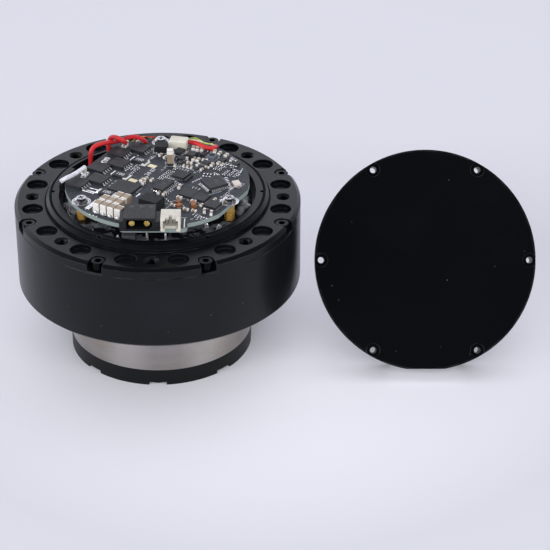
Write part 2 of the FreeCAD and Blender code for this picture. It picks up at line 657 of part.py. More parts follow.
# leads: from the motor through the window, over the board's edge, and to their pads
DUCT_Z = BAY_FLOOR - 4.1
LEADS = {"phase_lead_a": (0.8, [(-24.6, 19.6, DUCT_Z), (-24.6, 19.6, 64.4), (-20.4, 22.6, 66.2),
                                (-13.6, 26.2, 66.0), (-5.4, 28.0, 65.4), (-5.4, 28.0, BOARD_TOP)]),
         "phase_lead_b": (0.8, [(-18.3, 26.0, DUCT_Z), (-18.3, 26.0, 64.8), (-15.2, 28.0, 67.2),
                                (-10.8, 29.2, 66.8), (-7.6, 29.2, 65.2), (-7.6, 29.2, BOARD_TOP)]),
         "phase_lead_c": (0.75, [(-32.4, 5.4, BAY_FLOOR + 0.2), (-32.4, 5.4, 62.9), (-26.2, 7.6, 64.2),
                                 (-25.4, 3.6, BOARD_TOP + 0.8)]),
         "sensor_leads": (0.8, [(10.1, 25.0, 64.2), (14.0, 26.7, 65.4), (19.6, 26.0, 63.4),
                                (19.6, 26.0, BAY_FLOOR + 0.2)])}
for node, (radius, route) in LEADS.items():
    export(node, cord(route, radius))
export("rear_cover", placed_cover())
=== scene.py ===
# %% [markdown]
# # A robot joint actuator, with its rear cover taken off
# The solid model comes in as a fixed frame: every CAD part already sits where it belongs. This lesson
# gives those parts their finishes and adds what is too small or too soft for the solid model: solder,
# chip legs, hundreds of tiny resistors, threads, leads, dust and wear. Lengths are in metres, and the
# tables of small parts are in millimetres.

# %% Load the frame
import bmesh
import bpy
import json
import numpy as np
from mathutils import Matrix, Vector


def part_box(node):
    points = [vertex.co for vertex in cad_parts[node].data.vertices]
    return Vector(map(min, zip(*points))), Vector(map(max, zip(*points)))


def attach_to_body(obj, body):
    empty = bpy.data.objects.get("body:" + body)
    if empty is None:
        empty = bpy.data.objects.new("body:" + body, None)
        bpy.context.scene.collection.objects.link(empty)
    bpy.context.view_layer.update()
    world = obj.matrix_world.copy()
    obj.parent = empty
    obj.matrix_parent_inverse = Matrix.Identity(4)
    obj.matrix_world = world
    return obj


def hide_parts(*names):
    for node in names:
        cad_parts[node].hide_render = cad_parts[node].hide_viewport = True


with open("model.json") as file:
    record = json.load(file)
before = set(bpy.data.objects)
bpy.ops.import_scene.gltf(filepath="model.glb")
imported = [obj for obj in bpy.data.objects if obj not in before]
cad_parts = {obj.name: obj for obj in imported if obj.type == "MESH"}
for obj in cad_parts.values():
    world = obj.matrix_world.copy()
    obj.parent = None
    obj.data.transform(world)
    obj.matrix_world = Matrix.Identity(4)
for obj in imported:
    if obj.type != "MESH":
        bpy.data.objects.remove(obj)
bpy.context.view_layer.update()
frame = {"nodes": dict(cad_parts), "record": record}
MM = 0.001
rng = np.random.default_rng(8)

# %% [markdown]
# ## Where things are
# The heights come from the boxes of the CAD parts, so a change in the solid model moves the details
# with it. Places on the board are written in millimetres from the rotation axis.

# %% Heights and places
BOARD_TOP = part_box("controller_board")[1].z
BOARD_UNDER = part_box("controller_board")[0].z
HOUSING_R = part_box("main_housing")[1].x
REAR_PLATE = 0.0038       # from the seam up to the outer face
REAR_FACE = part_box("main_housing")[1].z + REAR_PLATE
HOLE_CIRCLE = 43.0        # radius of the circle of mounting holes, mm
SCREW_INSET = 3.0         # notch screws, in from the housing's outside, mm
RIM_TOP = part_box("rear_housing")[1].z
print("board top %.4f, rim top %.4f, housing radius %.4f" % (BOARD_TOP, RIM_TOP, HOUSING_R))

# %% [markdown]
# ## Camera and studio
# A long lens from well above keeps the circles almost true ellipses. The stage is one pale sweep of
# paper. Three soft boxes and two broad fills light it: black anodised metal has almost no colour of its
# own, so what it mirrors is what gives it its shape.

# %% Camera
camera_data = bpy.data.cameras.new("camera")
camera_data.lens = 143.15
camera_data.sensor_width = 36.0
camera_data.clip_start = 0.05
camera = bpy.data.objects.new("camera", camera_data)
camera.location = (0.0402, -0.6571, 0.4192)
camera.rotation_euler = (np.radians(90 - 30.96), 0, 0)
bpy.context.scene.collection.objects.link(camera)
bpy.context.scene.camera = camera
print("camera ready, lens", camera_data.lens)

# %% Material helper: a node tree that reads like a recipe
class Nodes:
    """Helpers for a node tree. Each method adds a node or two and returns an output."""

    def __init__(self, tree, coordinates):
        self.tree = tree
        self.place = self.add("ShaderNodeTexCoord").outputs[coordinates]

    def add(self, kind, **settings):
        node = self.tree.nodes.new(kind)
        for key, value in settings.items():
            setattr(node, key, value)
        return node

    def link(self, source, node, socket):
        self.tree.links.new(source, node.inputs[socket])

    def axis(self, letter, vector=None):
        """One coordinate of a vector, or of the place itself."""
        node = self.add("ShaderNodeSeparateXYZ")
        self.link(vector if vector else self.place, node, 0)
        return node.outputs[letter]

    def math(self, operation, a, b=None):
        node = self.add("ShaderNodeMath", operation=operation)
        for index, value in enumerate((a, b)):
            if value is None:
                continue
            if isinstance(value, (int, float)):
                node.inputs[index].default_value = value
            else:
                self.link(value, node, index)
        return node.outputs[0]

    def span(self, value, low, high, to_low, to_high):
        """Maps a range of a value to another range, held at both ends."""
        node = self.add("ShaderNodeMapRange")
        self.link(value, node, "Value")
        for socket, number in zip(("From Min", "From Max", "To Min", "To Max"),
                                  (low, high, to_low, to_high)):
            node.inputs[socket].default_value = number
        return node.outputs[0]


class Recipe(Nodes):
    """A Principled material built step by step."""

    def __init__(self, name, color, roughness, metallic=0.0, specular=0.5):
        self.material = bpy.data.materials.new(name)
        self.material.use_nodes = True
        super().__init__(self.material.node_tree, "Object")
        self.shader = self.tree.nodes["Principled BSDF"]
        self.shader.inputs["Base Color"].default_value = (*linear(color), 1)
        self.shader.inputs["Roughness"].default_value = roughness
        self.shader.inputs["Metallic"].default_value = metallic
        self.shader.inputs["Specular IOR Level"].default_value = specular
        self.height = None

    def stretched(self, scale):
        """Object coordinates multiplied by a factor along each axis."""
        node = self.add("ShaderNodeMapping")
        node.inputs["Scale"].default_value = scale
        self.link(self.place, node, "Vector")
        return node.outputs[0]

    def noise(self, scale, detail=3.0, vector=None):
        node = self.add("ShaderNodeTexNoise")
        node.inputs["Scale"].default_value = scale
        node.inputs["Detail"].default_value = detail
        self.link(vector if vector else self.place, node, "Vector")
        return node.outputs["Fac"]

    def cells(self, scale, vector=None, feature="F1"):
        node = self.add("ShaderNodeTexVoronoi", feature=feature)
        node.inputs["Scale"].default_value = scale
        self.link(vector if vector else self.place, node, "Vector")
        return node.outputs["Distance"]

    def radius(self, centre=(0, 0, 0)):
        """Distance from an upright axis through a point, in metres."""
        shift = self.add("ShaderNodeVectorMath", operation="SUBTRACT")
        self.link(self.place, shift, 0)
        shift.inputs[1].default_value = centre
        flat = self.add("ShaderNodeVectorMath", operation="MULTIPLY")
        self.link(shift.outputs[0], flat, 0)
        flat.inputs[1].default_value = (1, 1, 0)
        length = self.add("ShaderNodeVectorMath", operation="LENGTH")
        self.link(flat.outputs[0], length, 0)
        return length.outputs["Value"]

    def blend(self, factor, color_a, color_b):
        """Mixes two colours, or colour outputs, by a factor."""
        node = self.add("ShaderNodeMix", data_type="RGBA")
        self.link(factor, node, 0)
        for index, color in ((6, color_a), (7, color_b)):
            if isinstance(color, tuple):
                node.inputs[index].default_value = (*linear(color), 1)
            else:
                self.link(color, node, index)
        return node.outputs[2]

    def color(self, output):
        self.link(output, self.shader, "Base Color")
        return self

    def roughness(self, output):
        self.link(output, self.shader, "Roughness")
        return self

    def soften(self, radius):
        """
        Rounds sharp edges in the shading only, as a deburring brush does, and returns how much: zero on
        a flat face and near one on an edge, from the angle between the rounded and the true normal.
        """
        node = self.add("ShaderNodeBevel", samples=4)
        node.inputs["Radius"].default_value = radius
        self.height = node.outputs[0]
        self.link(self.height, self.shader, "Normal")
        dot = self.add("ShaderNodeVectorMath", operation="DOT_PRODUCT")
        self.link(self.height, dot, 0)
        self.link(self.add("ShaderNodeNewGeometry").outputs["True Normal"], dot, 1)
        return self.span(dot.outputs["Value"], 0.86, 0.99, 1, 0)

    def upward(self):
        """One on level faces, zero on upright walls."""
        lift = self.axis("Z", self.add("ShaderNodeNewGeometry").outputs["True Normal"])
        return self.span(self.math("ABSOLUTE", lift), 0.3, 0.9, 0, 1)

    def bump(self, height, depth, strength=0.6):
        """Adds a relief of a real depth in metres on top of the ones before it."""
        node = self.add("ShaderNodeBump")
        node.inputs["Strength"].default_value = strength
        node.inputs["Distance"].default_value = depth
        self.link(height, node, "Height")
        if self.height:
            self.link(self.height, node, "Normal")
        self.height = node.outputs[0]
        self.link(self.height, self.shader, "Normal")
        return self


def linear(color):
    """An sRGB colour written 0 to 255, as the linear values that a shader wants."""
    c = np.array(color) / 255.0
    return tuple(float(v) for v in np.where(c <= 0.04045, c / 12.92, ((c + 0.055) / 1.055) ** 2.4))


print("recipe helper ready")

# %% Stage: one large sheet of pale paper
def paper_material():
    """Matt paper. A patch of painted light makes it whiter round the object and lightens the shadow there;
    painted shade makes it a little greyer towards its near edge, where the fill lamps are brighter.
    """
    recipe = Recipe("studio_paper", (212, 212, 218), 0.9, specular=0.1)
    tone = recipe.span(recipe.noise(2.5, 1.0), 0.35, 0.65, 0.0, 1.0)
    paper = recipe.blend(tone, (207, 207, 213), (209, 209, 215))
    # Painted shade: greyer paper towards the near edge, where the fill lamps are brighter.
    paper = recipe.blend(recipe.span(recipe.axis("Y"), -0.2, 0.15, 1, 0), paper, (200, 200, 206))
    # Painted light: a whiter patch round the object that lightens its shadow.
    painted_light_pool = recipe.span(recipe.radius((0.035, 0, 0)), 0.04, 0.125, 1, 0)
    recipe.color(recipe.blend(painted_light_pool, paper, (236, 236, 242)))
    recipe.bump(recipe.noise(900), 0.00005, 0.2)
    return recipe.material


bpy.ops.mesh.primitive_plane_add(size=8, location=(0, 0, 0))
floor = bpy.context.object
floor.name = "studio_floor"
floor.data.materials.append(paper_material())
print("floor ready")

# %% Lights
def soft_box(name, place, target, size, power, color=(1, 1, 1)):
    """A rectangular area lamp at a place, aimed at a target point."""
    data = bpy.data.lights.new(name, "AREA")
    data.shape = "RECTANGLE"
    data.size, data.size_y = size
    data.energy = power
    data.color = color
    lamp = bpy.data.objects.new(name, data)
    lamp.location = place
    aim = np.array(target) - np.array(place)
    lean = np.arccos(-aim[2] / np.linalg.norm(aim))
    lamp.rotation_euler = (lean, 0, np.arctan2(-aim[0], aim[1]))
    bpy.context.scene.collection.objects.link(lamp)
    return lamp


def studio_world():
    """
    A pale room, bright behind the object and dim on the camera's side. For reflections its bright part
    stops 30 degrees above the floor, like the top edge of a paper sweep. The camera sees plain paper.
    """
    world = bpy.data.worlds.new("studio")
    world.use_nodes = True
    nodes = Nodes(world.node_tree, "Generated")
    background = world.node_tree.nodes["Background"]

    def mixed(factor, a, b):
        node = nodes.add("ShaderNodeMix")
        nodes.link(factor, node, 0)
        nodes.link(a, node, 2)
        if isinstance(b, float):
            node.inputs[3].default_value = b
        else:
            nodes.link(b, node, 3)
        return node.outputs[0]

    sight = nodes.add("ShaderNodeLightPath")
    depth = nodes.span(nodes.axis("Y"), -0.5, 0.7, 0.5, 1.5)
    edge = nodes.span(nodes.axis("Z"), 0.485, 0.56, 1.0, 0.06)
    sides = nodes.math("MULTIPLY", edge, nodes.span(nodes.axis("X"), 0.2, 0.9, 1.0, 0.22))
    mirrored = nodes.math("MULTIPLY", sides, nodes.span(nodes.axis("Y"), -0.4, 0.6, 0.16, 2.1))
    seen = mixed(sight.outputs["Is Glossy Ray"], depth, mirrored)
    nodes.link(mixed(sight.outputs["Is Camera Ray"], seen, 1.0), background, "Strength")
    background.inputs["Color"].default_value = (*linear((222, 224, 234)), 1)
    return world


bpy.context.scene.world = studio_world()
soft_box("top_box", (0.0, 0.35, 1.1), (0.03, 0, 0.03), (1.0, 0.6), 1.2)
soft_box("left_box", (-1.1, -0.7, 0.40), (0.0, 0, 0.03), (0.5, 0.6), 6.0)
soft_box("right_box", (1.2, -0.7, 0.40), (0.05, 0, 0.03), (0.5, 0.6), 4.0)
fill = soft_box("front_fill", (0.0, -1.5, 0.42), (0.03, 0, 0.02), (3.2, 0.8), 5.0)
fill.visible_glossy = False
high_fill = soft_box("high_fill", (0.05, -2.8, 2.1), (0.04, -0.05, 0.0), (4.4, 1.6), 74.0)
high_fill.visible_glossy = False
bpy.context.scene.view_settings.view_transform = "Standard"
print("lights ready")

# %% [markdown]
# ## Finishes for the solid parts
# Every CAD part keeps its own shape and gets a finish made of nodes. Machined metal shows three things
# that a flat colour does not: the lines the tool left, a fine grain from blasting or anodising, and
# rubbed or dusty spots. All three are written at their real scale, in metres.

# %% Black anodised aluminium
def anodised(name, color, worn, roughness, specular, grain=0.000006, grooves=()):
    """
    Blasted and dyed aluminium: fine grain, faint turning rings, worn patches and single grains of dust.
    Its edges are paler, partly wear and partly a painted highlight. A groove is a band of radii, above a
    height, that is cut a third of a millimetre deep by a bump and painted in shade: its reflection is turned
    off.
    """
    recipe = Recipe(name, color, roughness, specular=specular)
    patches = recipe.span(recipe.noise(38, 5), 0.52, 0.72, 0, 1)
    wear_and_highlight = recipe.span(recipe.noise(240, 3), 0.4, 0.6, 0.1, 0.8)
    # Edges paler in colour: partly wear, partly a painted highlight along each chamfer.
    edges = recipe.math("MULTIPLY", recipe.soften(0.0003), wear_and_highlight)
    dust = recipe.span(recipe.cells(210), 0.018, 0.03, 0.75, 0)
    face = recipe.blend(edges, recipe.blend(patches, color, worn), (78, 80, 86))
    recipe.color(recipe.blend(dust, face, (150, 152, 158)))
    smear = recipe.noise(30, 4)
    recipe.roughness(recipe.span(smear, 0.3, 0.7, roughness - 0.03, roughness + 0.04))
    # Painted shade: inside each groove band the reflection is turned off, so the band reads dark.
    shade = 0.0
    for inner, outer, low in grooves:
        r = recipe.radius()
        band = recipe.math("MULTIPLY", recipe.span(r, inner, inner + 0.0001, 0, 1),
                           recipe.span(r, outer - 0.0001, outer, 1, 0))
        above = recipe.span(recipe.axis("Z"), low, low + 0.0001, 0, 1)
        shade = recipe.math("ADD", recipe.math("MULTIPLY", band, above), shade)
    if grooves:
        recipe.link(recipe.span(shade, 0, 1, specular, 0.01), recipe.shader, "Specular IOR Level")
        recipe.bump(recipe.math("SUBTRACT", 1.0, shade), 0.0003, 0.8)
    recipe.bump(recipe.noise(4200, 2), grain, 0.5)
    rings = recipe.math("SINE", recipe.math("MULTIPLY", recipe.radius(), 42000))
    recipe.bump(recipe.math("MULTIPLY", rings, recipe.upward()), 0.0000012, 0.3)
    return recipe.material


def turned_steel(name, color, roughness, groove=0.000002):
    """
    Turned steel: fine lines round the axis that differ in depth, a warm oxide tone and stains, and seven
    soft upright bands of painted reflection, paler in colour: the cosine of seven times the angle.
    """
    recipe = Recipe(name, color, roughness, metallic=1.0)
    lines = recipe.noise(1.0, 2, recipe.stretched((9, 9, 9000)))
    broad = recipe.noise(1.0, 3, recipe.stretched((14, 14, 300)))
    angle = recipe.math("ARCTAN2", recipe.axis("Y"), recipe.axis("X"))
    # Painted reflection: seven soft paler bands round the axis, in the colour.
    painted_reflection_bands = recipe.math("COSINE", recipe.math("MULTIPLY", recipe.math("ADD", angle, 1.92), 7.0))
    stain = recipe.span(recipe.noise(60, 4), 0.5, 0.75, 0, 0.6)
    darker, painted_reflection_color = (tuple(min(int(c * k), 252) for c in color) for k in (0.96, 1.14))
    brown = (color[0], int(color[1] * 0.95), int(color[2] * 0.88))
    tone = recipe.blend(recipe.span(broad, 0.35, 0.65, 0, 1), color, darker)
    tone = recipe.blend(recipe.span(painted_reflection_bands, -0.6, 0.9, 0, 1), tone, painted_reflection_color)
    recipe.color(recipe.blend(stain, tone, brown))
    recipe.roughness(recipe.span(lines, 0.3, 0.7, roughness - 0.07, roughness + 0.1))
    recipe.bump(lines, groove, 0.7)
    return recipe.material


def plain_metal(name, color, roughness, grain=900, depth=0.000004, metallic=1.0):
    """Plated or ground metal: small scratches along one way, a fine grain and darker stains."""
    recipe = Recipe(name, color, roughness, metallic=metallic)
    recipe.soften(0.00015)
    scratch = recipe.noise(1.0, 2, recipe.stretched((grain, grain * 9, grain * 4)))
    stain = recipe.span(recipe.noise(300, 3), 0.45, 0.7, 0, 1)
    recipe.color(recipe.blend(stain, color, tuple(int(c * 0.8) for c in color)))
    recipe.roughness(recipe.span(scratch, 0.3, 0.7, max(roughness - 0.08, 0.04), roughness + 0.12))
    recipe.bump(scratch, depth, 0.5)
    return recipe.material


def moulded(name, color, other, roughness, grain=3500, depth=0.000008, specular=0.4):
    """Moulded plastic or epoxy: a fine eroded grain, faint flow patches and edges a little paler, partly
    wear and partly a painted highlight.
    """
    recipe = Recipe(name, color, roughness, specular=specular)
    # Edges paler in colour: partly wear, partly a painted highlight.
    edges = recipe.math("MULTIPLY", recipe.soften(0.00012), 0.6)
    flow = recipe.span(recipe.noise(320, 4), 0.35, 0.68, 0, 1)
    wear_and_highlight = tuple(min(int(c * 1.25 + 8), 250) for c in color)
    recipe.color(recipe.blend(edges, recipe.blend(flow, color, other), wear_and_highlight))
    recipe.roughness(recipe.span(recipe.noise(900, 3), 0.3, 0.7, roughness - 0.06, roughness + 0.08))
    recipe.bump(recipe.noise(grain, 2), depth, 0.5)
    return recipe.material


def solder():
    """Bright solder: half mirror and half pale oxide, with flux stains and a soft uneven skin."""
    recipe = Recipe("solder", (238, 238, 242), 0.22, metallic=0.75)
    stain = recipe.span(recipe.noise(700, 3), 0.5, 0.72, 0, 1)
    recipe.color(recipe.blend(stain, (240, 240, 244), (196, 194, 190)))
    recipe.roughness(recipe.span(recipe.noise(420, 2), 0.35, 0.65, 0.14, 0.34))
    recipe.bump(recipe.noise(650, 2), 0.00005, 0.35)
    return recipe.material


def potting():
    """Glossy potting resin: almost black, with grey patches of painted reflection in its colour and a soft
    uneven skin.
    """
    recipe = Recipe("resin", (40, 42, 45), 0.2, specular=0.35)
    # Painted reflection: grey patches in the resin's colour.
    painted_reflection_patches = recipe.span(recipe.noise(170, 3), 0.52, 0.62, 0, 1)
    recipe.color(recipe.blend(painted_reflection_patches, (24, 25, 27), (118, 121, 126)))
    recipe.roughness(recipe.span(recipe.noise(420, 2), 0.35, 0.65, 0.12, 0.3))
    recipe.bump(recipe.noise(700, 2), 0.00006, 0.5)
    return recipe.material


RECIPES = {
    anodised: {
        "black_anodised": ((11, 13, 17), (17, 19, 24), 0.3, 0.22),
        # The second groove band of the rear housing is a painted shadow line along the foot of the rim.
        "rear_anodised": ((11, 13, 17), (17, 19, 24), 0.3, 0.22, 0.000006,
                          ((0.0360, 0.0371, RIM_TOP - 0.0004), (0.0381, 0.0387, REAR_FACE - 0.0002))),
        "cover_anodised": ((6, 8, 11), (9, 11, 14), 0.34, 0.08),
        "black_cap": ((16, 17, 19), (24, 25, 28), 0.4, 0.16),
    },
    turned_steel: {
        "bare_steel": ((164, 159, 156), 0.3),
        "shaft_steel": ((180, 180, 182), 0.28),
        "laminations": ((110, 112, 118), 0.45, 0.00001),
    },
    plain_metal: {
        "gear_steel": ((172, 172, 175), 0.3),
        "bearing_steel": ((200, 200, 202), 0.16),
        "black_screws": ((26, 26, 29), 0.26),
        "bright_screws": ((205, 205, 208), 0.22),
        "brass": ((226, 178, 92), 0.3, 300, 0.000001, 0.45),
        "gold": ((226, 196, 112), 0.22),
        "tinned_pins": ((206, 206, 202), 0.26),
        "magnet_nickel": ((186, 186, 188), 0.2),
        "thread_metal": ((70, 71, 75), 0.34),
    },
    moulded: {
        "cap_plating": ((226, 224, 220), (206, 202, 196), 0.3, 2400, 0.00001, 0.7),
        "chip_black": ((38, 39, 43), (46, 47, 51), 0.5),
        "inductor_grey": ((26, 27, 29), (34, 35, 37), 0.62, 1800, 0.00003),
        "coil_grey": ((84, 90, 100), (94, 100, 110), 0.45),
        "shunt_grey": ((46, 47, 50), (56, 57, 60), 0.5),
        "ceramic_brown": ((142, 125, 108), (156, 140, 121), 0.42),
        "tantalum_orange": ((150, 88, 44), (104, 72, 48), 0.4),
        "crystal_beige": ((196, 184, 176), (208, 198, 190), 0.4),
        "connector_black": ((17, 18, 21), (24, 25, 28), 0.42),
        "bay_grey": ((88, 90, 94), (66, 68, 72), 0.42),
        "white_ink": ((232, 234, 238), (206, 209, 214), 0.6),
        "grey_ink": ((98, 99, 104), (80, 81, 86), 0.55),
        "pale_gold": ((222, 208, 176), (204, 190, 156), 0.34, 2400, 0.00001, 0.7),
        "connector_white": ((206, 202, 190), (192, 187, 174), 0.45),
    },
}
FINISH = {name: make(name, *values) for make, table in RECIPES.items() for name, values in table.items()}
FINISH.update(solder=solder(), resin=potting())
print("finishes:", len(FINISH))

# %% Enamelled copper, solder mask and the skins of the leads
def enamelled_copper():
    """Round wires side by side: ridges at the wire's pitch in the height direction, under clear enamel."""
    recipe = Recipe("enamelled_copper", (186, 104, 58), 0.3, metallic=0.85)
    ridge = recipe.add("ShaderNodeTexWave", wave_type="BANDS", bands_direction="DIAGONAL")
    ridge.inputs["Scale"].default_value = 420
    recipe.link(recipe.place, ridge, "Vector")
    recipe.bump(ridge.outputs["Fac"], 0.0001, 0.8)
    tone = recipe.span(recipe.noise(500, 3), 0.35, 0.65, 0, 1)
    recipe.color(recipe.blend(tone, (186, 104, 58), (150, 78, 42)))
    return recipe.material


def solder_mask():
    """
    A matt dark grey mask over copper: faint tracks and hatching stand a hair proud. Between the two faces
    the cut edge shows the pale laminate, told apart by its height from the board's middle.
    """
    recipe = Recipe("solder_mask", (62, 66, 73), 0.52, specular=0.35)
    turned_place = recipe.add("ShaderNodeMapping")
    turned_place.inputs["Rotation"].default_value = (0, 0, np.radians(30))
    turned_place.inputs["Scale"].default_value = (1, 1, 0.05)
    recipe.link(recipe.place, turned_place, "Vector")
    tracks = recipe.add("ShaderNodeTexBrick")
    tracks.inputs["Scale"].default_value = 160
    tracks.inputs["Mortar Size"].default_value = 0.09
    tracks.inputs["Brick Width"].default_value = 1.7
    tracks.inputs["Row Height"].default_value = 0.24
    recipe.link(turned_place.outputs[0], tracks, "Vector")
    copper = recipe.span(recipe.cells(230, turned_place.outputs[0], "DISTANCE_TO_EDGE"), 0.05, 0.09, 0, 1)
    relief = recipe.math("MULTIPLY", tracks.outputs["Fac"], copper)
    patches = recipe.span(recipe.noise(120, 3), 0.42, 0.6, 0, 1)
    base = recipe.blend(patches, (42, 46, 52), (48, 52, 58))
    top = recipe.blend(recipe.math("MULTIPLY", relief, 0.45), base, (58, 63, 70))
    middle = recipe.math("SUBTRACT", recipe.axis("Z"), (BOARD_TOP + BOARD_UNDER) / 2)
    depth = (BOARD_TOP - BOARD_UNDER) / 2
    edge = recipe.span(recipe.math("ABSOLUTE", middle), depth - 0.00006, depth - 0.00003, 1, 0)
    layers = recipe.span(recipe.math("SINE", recipe.math("MULTIPLY", middle, 16000)), -1, 1, 0, 1)
    laminate = recipe.blend(layers, (124, 137, 133), (148, 159, 155))
    recipe.color(recipe.blend(edge, top, laminate))
    recipe.roughness(recipe.span(recipe.noise(700, 2), 0.3, 0.7, 0.46, 0.6))
    recipe.bump(relief, 0.00003, 0.5)
    recipe.bump(recipe.noise(5000, 2), 0.000006, 0.4)
    return recipe.material


def silicone(name, color, other):
    """Soft silicone skin: a satin surface with faint creases and darker worn patches."""
    recipe = Recipe(name, color, 0.36, specular=0.45)
    patches = recipe.span(recipe.noise(160, 3), 0.4, 0.65, 0, 1)
    recipe.color(recipe.blend(patches, color, other))
    recipe.roughness(recipe.span(recipe.noise(800, 2), 0.3, 0.7, 0.3, 0.46))
    recipe.bump(recipe.noise(1500, 2), 0.00003, 0.4)
    recipe.shader.inputs["Subsurface Weight"].default_value = 0.05
    recipe.shader.inputs["Subsurface Scale"].default_value = 0.001
    return recipe.material


def braid():
    """White fibre sleeve: two sets of slanting threads that cross, seen as a fine net of ridges."""
    recipe = Recipe("white_braid", (214, 214, 222), 0.7, specular=0.2)
    threads = []
    for factor in (1, -1):
        wave = recipe.add("ShaderNodeTexWave", wave_type="BANDS", bands_direction="X")
        wave.inputs["Scale"].default_value = 620
        turned = recipe.add("ShaderNodeMapping")
        turned.inputs["Rotation"].default_value = (0.5 * factor, 0.3, factor * 0.9)
        recipe.link(recipe.place, turned, "Vector")
        recipe.link(turned.outputs[0], wave, "Vector")
        threads.append(wave.outputs["Fac"])
    net = recipe.math("MAXIMUM", threads[0], threads[1])
    recipe.color(recipe.blend(recipe.span(net, 0.2, 0.8, 0, 1), (168, 168, 180), (226, 226, 232)))
    recipe.bump(net, 0.00012, 0.8)
    return recipe.material


FINISH["lead_red"] = silicone("lead_red", (196, 40, 44), (170, 30, 36))
FINISH["lead_black"] = silicone("lead_black", (30, 30, 33), (22, 22, 25))
FINISH["lead_green"] = silicone("lead_green", (176, 190, 70), (140, 160, 60))
FINISH["lead_beige"] = silicone("lead_beige", (206, 196, 178), (182, 172, 152))
FINISH["lead_white"] = braid()
FINISH["enamelled_copper"] = enamelled_copper()
FINISH["board_mask"] = solder_mask()
print("finishes:", len(FINISH))

# %% Put a finish on every CAD part
SPECIAL = {"rear_cover": "cover_anodised", "rear_housing": "rear_anodised",
           "power_inductor": "inductor_grey", "bus_choke": "inductor_grey",
           "power_pins": "gold"}
slot_of = {part["node"]: part["material_slot"] for part in frame["record"]["subparts"]}
for node, shape in frame["nodes"].items():
    finish = SPECIAL.get(node, slot_of[node])
    shape.data.materials.clear()
    shape.data.materials.append(FINISH[finish])
print("finished CAD parts:", len(frame["nodes"]))

# %% [markdown]
# ## How the small parts are drawn
# Nearly every small part is a stack of closed outlines: a body that narrows at its top edge, a bead of
# solder, a bent leg, a ring of bare metal. One numpy array holds them all, as copies, rows, columns and
# three coordinates. Neighbouring rows are joined by four-sided faces. This keeps hundreds of parts in a
# few light meshes, and a table of places in millimetres is all that each kind needs.

# %% Mesh helpers
def rings_mesh(name, stacks, finish="solder", closed=False, body="housing",
               smooth=False):
    """
    Joins outlines row by row: corner j of row i meets corner j + 1 and the same two corners of row
    i + 1. An open stack gets a flat cap at each end, a closed one joins its last row to its first.
    """
    kinds = [stacks] if isinstance(stacks, np.ndarray) else stacks
    points, loops, sizes, start = [], [], [], 0
    for kind in kinds:
        copies, rows, columns = kind.shape[:3]
        index = start + np.arange(copies * rows * columns).reshape(copies, rows, columns)
        low = index if closed else index[:, :-1]
        high = np.roll(index, -1, 1) if closed else index[:, 1:]
        sides = np.stack((low, np.roll(low, -1, 2), np.roll(high, -1, 2), high), -1).reshape(-1, 4)
        caps = np.zeros((0, columns),
                        int) if closed else np.concatenate((index[:, 0, ::-1], index[:, -1]))
        points.append(kind.reshape(-1, 3))
        loops += [sides.ravel(), caps.ravel()]
        sizes += [np.full(len(sides), 4), np.full(len(caps), columns)]
        start += index.size
    points, loops, sizes = np.concatenate(points) * MM, np.concatenate(loops), np.concatenate(sizes)
    mesh = bpy.data.meshes.new(name)
    mesh.vertices.add(len(points))
    mesh.loops.add(len(loops))
    mesh.polygons.add(len(sizes))
    mesh.vertices.foreach_set("co", points.astype(np.float32).ravel())
    mesh.loops.foreach_set("vertex_index", loops.astype(np.int32))
    mesh.polygons.foreach_set("loop_start", np.concatenate(([0], np.cumsum(sizes)[:-1])).astype(np.int32))
    mesh.polygons.foreach_set("use_smooth", np.full(len(sizes), smooth))
    mesh.update(calc_edges=True)
    return attach(bpy.data.objects.new(name, mesh), finish, body)


def attach(piece, finish, body="housing"):
    """Links a piece, gives it its finish and its body."""
    bpy.context.scene.collection.objects.link(piece)
    piece.data.materials.append(FINISH[finish])
    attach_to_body(piece, body)
    print("%-24s %6d points" % (piece.name, len(getattr(piece.data, "vertices", ()))))
    return piece


def heading(degrees):
    """Cosine and sine of a direction in degrees."""
    return np.cos(np.radians(degrees)), np.sin(np.radians(degrees))


def placed(local, x, y, z, degrees):
    """Turns every copy about its own upright axis, then moves it: (c dx - s dy + x, s dx + c dy + y)."""
    angle = np.radians(np.asarray(degrees, float))[:, None, None]
    c, s = np.cos(angle), np.sin(angle)
    dx, dy, dz = local[..., 0], local[..., 1], local[..., 2]
    shift = [np.asarray(v, float)[:, None, None] * np.ones_like(c) for v in (x, y, z)]
    return np.stack((c * dx - s * dy + shift[0], s * dx + c * dy + shift[1], dz + shift[2]), -1)


def boxes(table, base=None, bevel=0.1, corner=0.12, steps=2):
    """
    Moulded boxes from rows (x, y, width, depth, height, degrees). Each outline is its four corner
    centres plus a small radius times a turning unit vector, and it shrinks by the bevel at the top.
    """
    x, y, width, depth, height, degrees = np.array(table, float).T
    wide, deep, tall = (v[:, None, None] for v in (width, depth, height))
    edge = np.minimum(bevel, tall * 0.4)
    inset = np.concatenate((edge * 0, edge * 0, edge * 0.3, edge), 1)
    level = np.concatenate((edge * 0, tall - edge, tall - edge * 0.3, tall), 1)
    turn = (np.linspace(0, np.pi / 2, steps)[None] + np.arange(4)[:, None] * np.pi / 2).ravel()
    sign_x = np.repeat([1, -1, -1, 1], steps)
    sign_y = np.repeat([1, 1, -1, -1], steps)
    radius = np.minimum(corner, np.minimum(wide, deep) * 0.3)
    round_r = np.maximum(radius - inset * 0.5, radius * 0.4)
    local_x = sign_x * (wide / 2 - inset - round_r) + round_r * np.cos(turn)
    local_y = sign_y * (deep / 2 - inset - round_r) + round_r * np.sin(turn)
    local = np.stack((local_x, local_y, level + local_x * 0), -1)
    return placed(local, x, y, np.full(len(x), BOARD_TOP / MM if base is None else base), degrees)


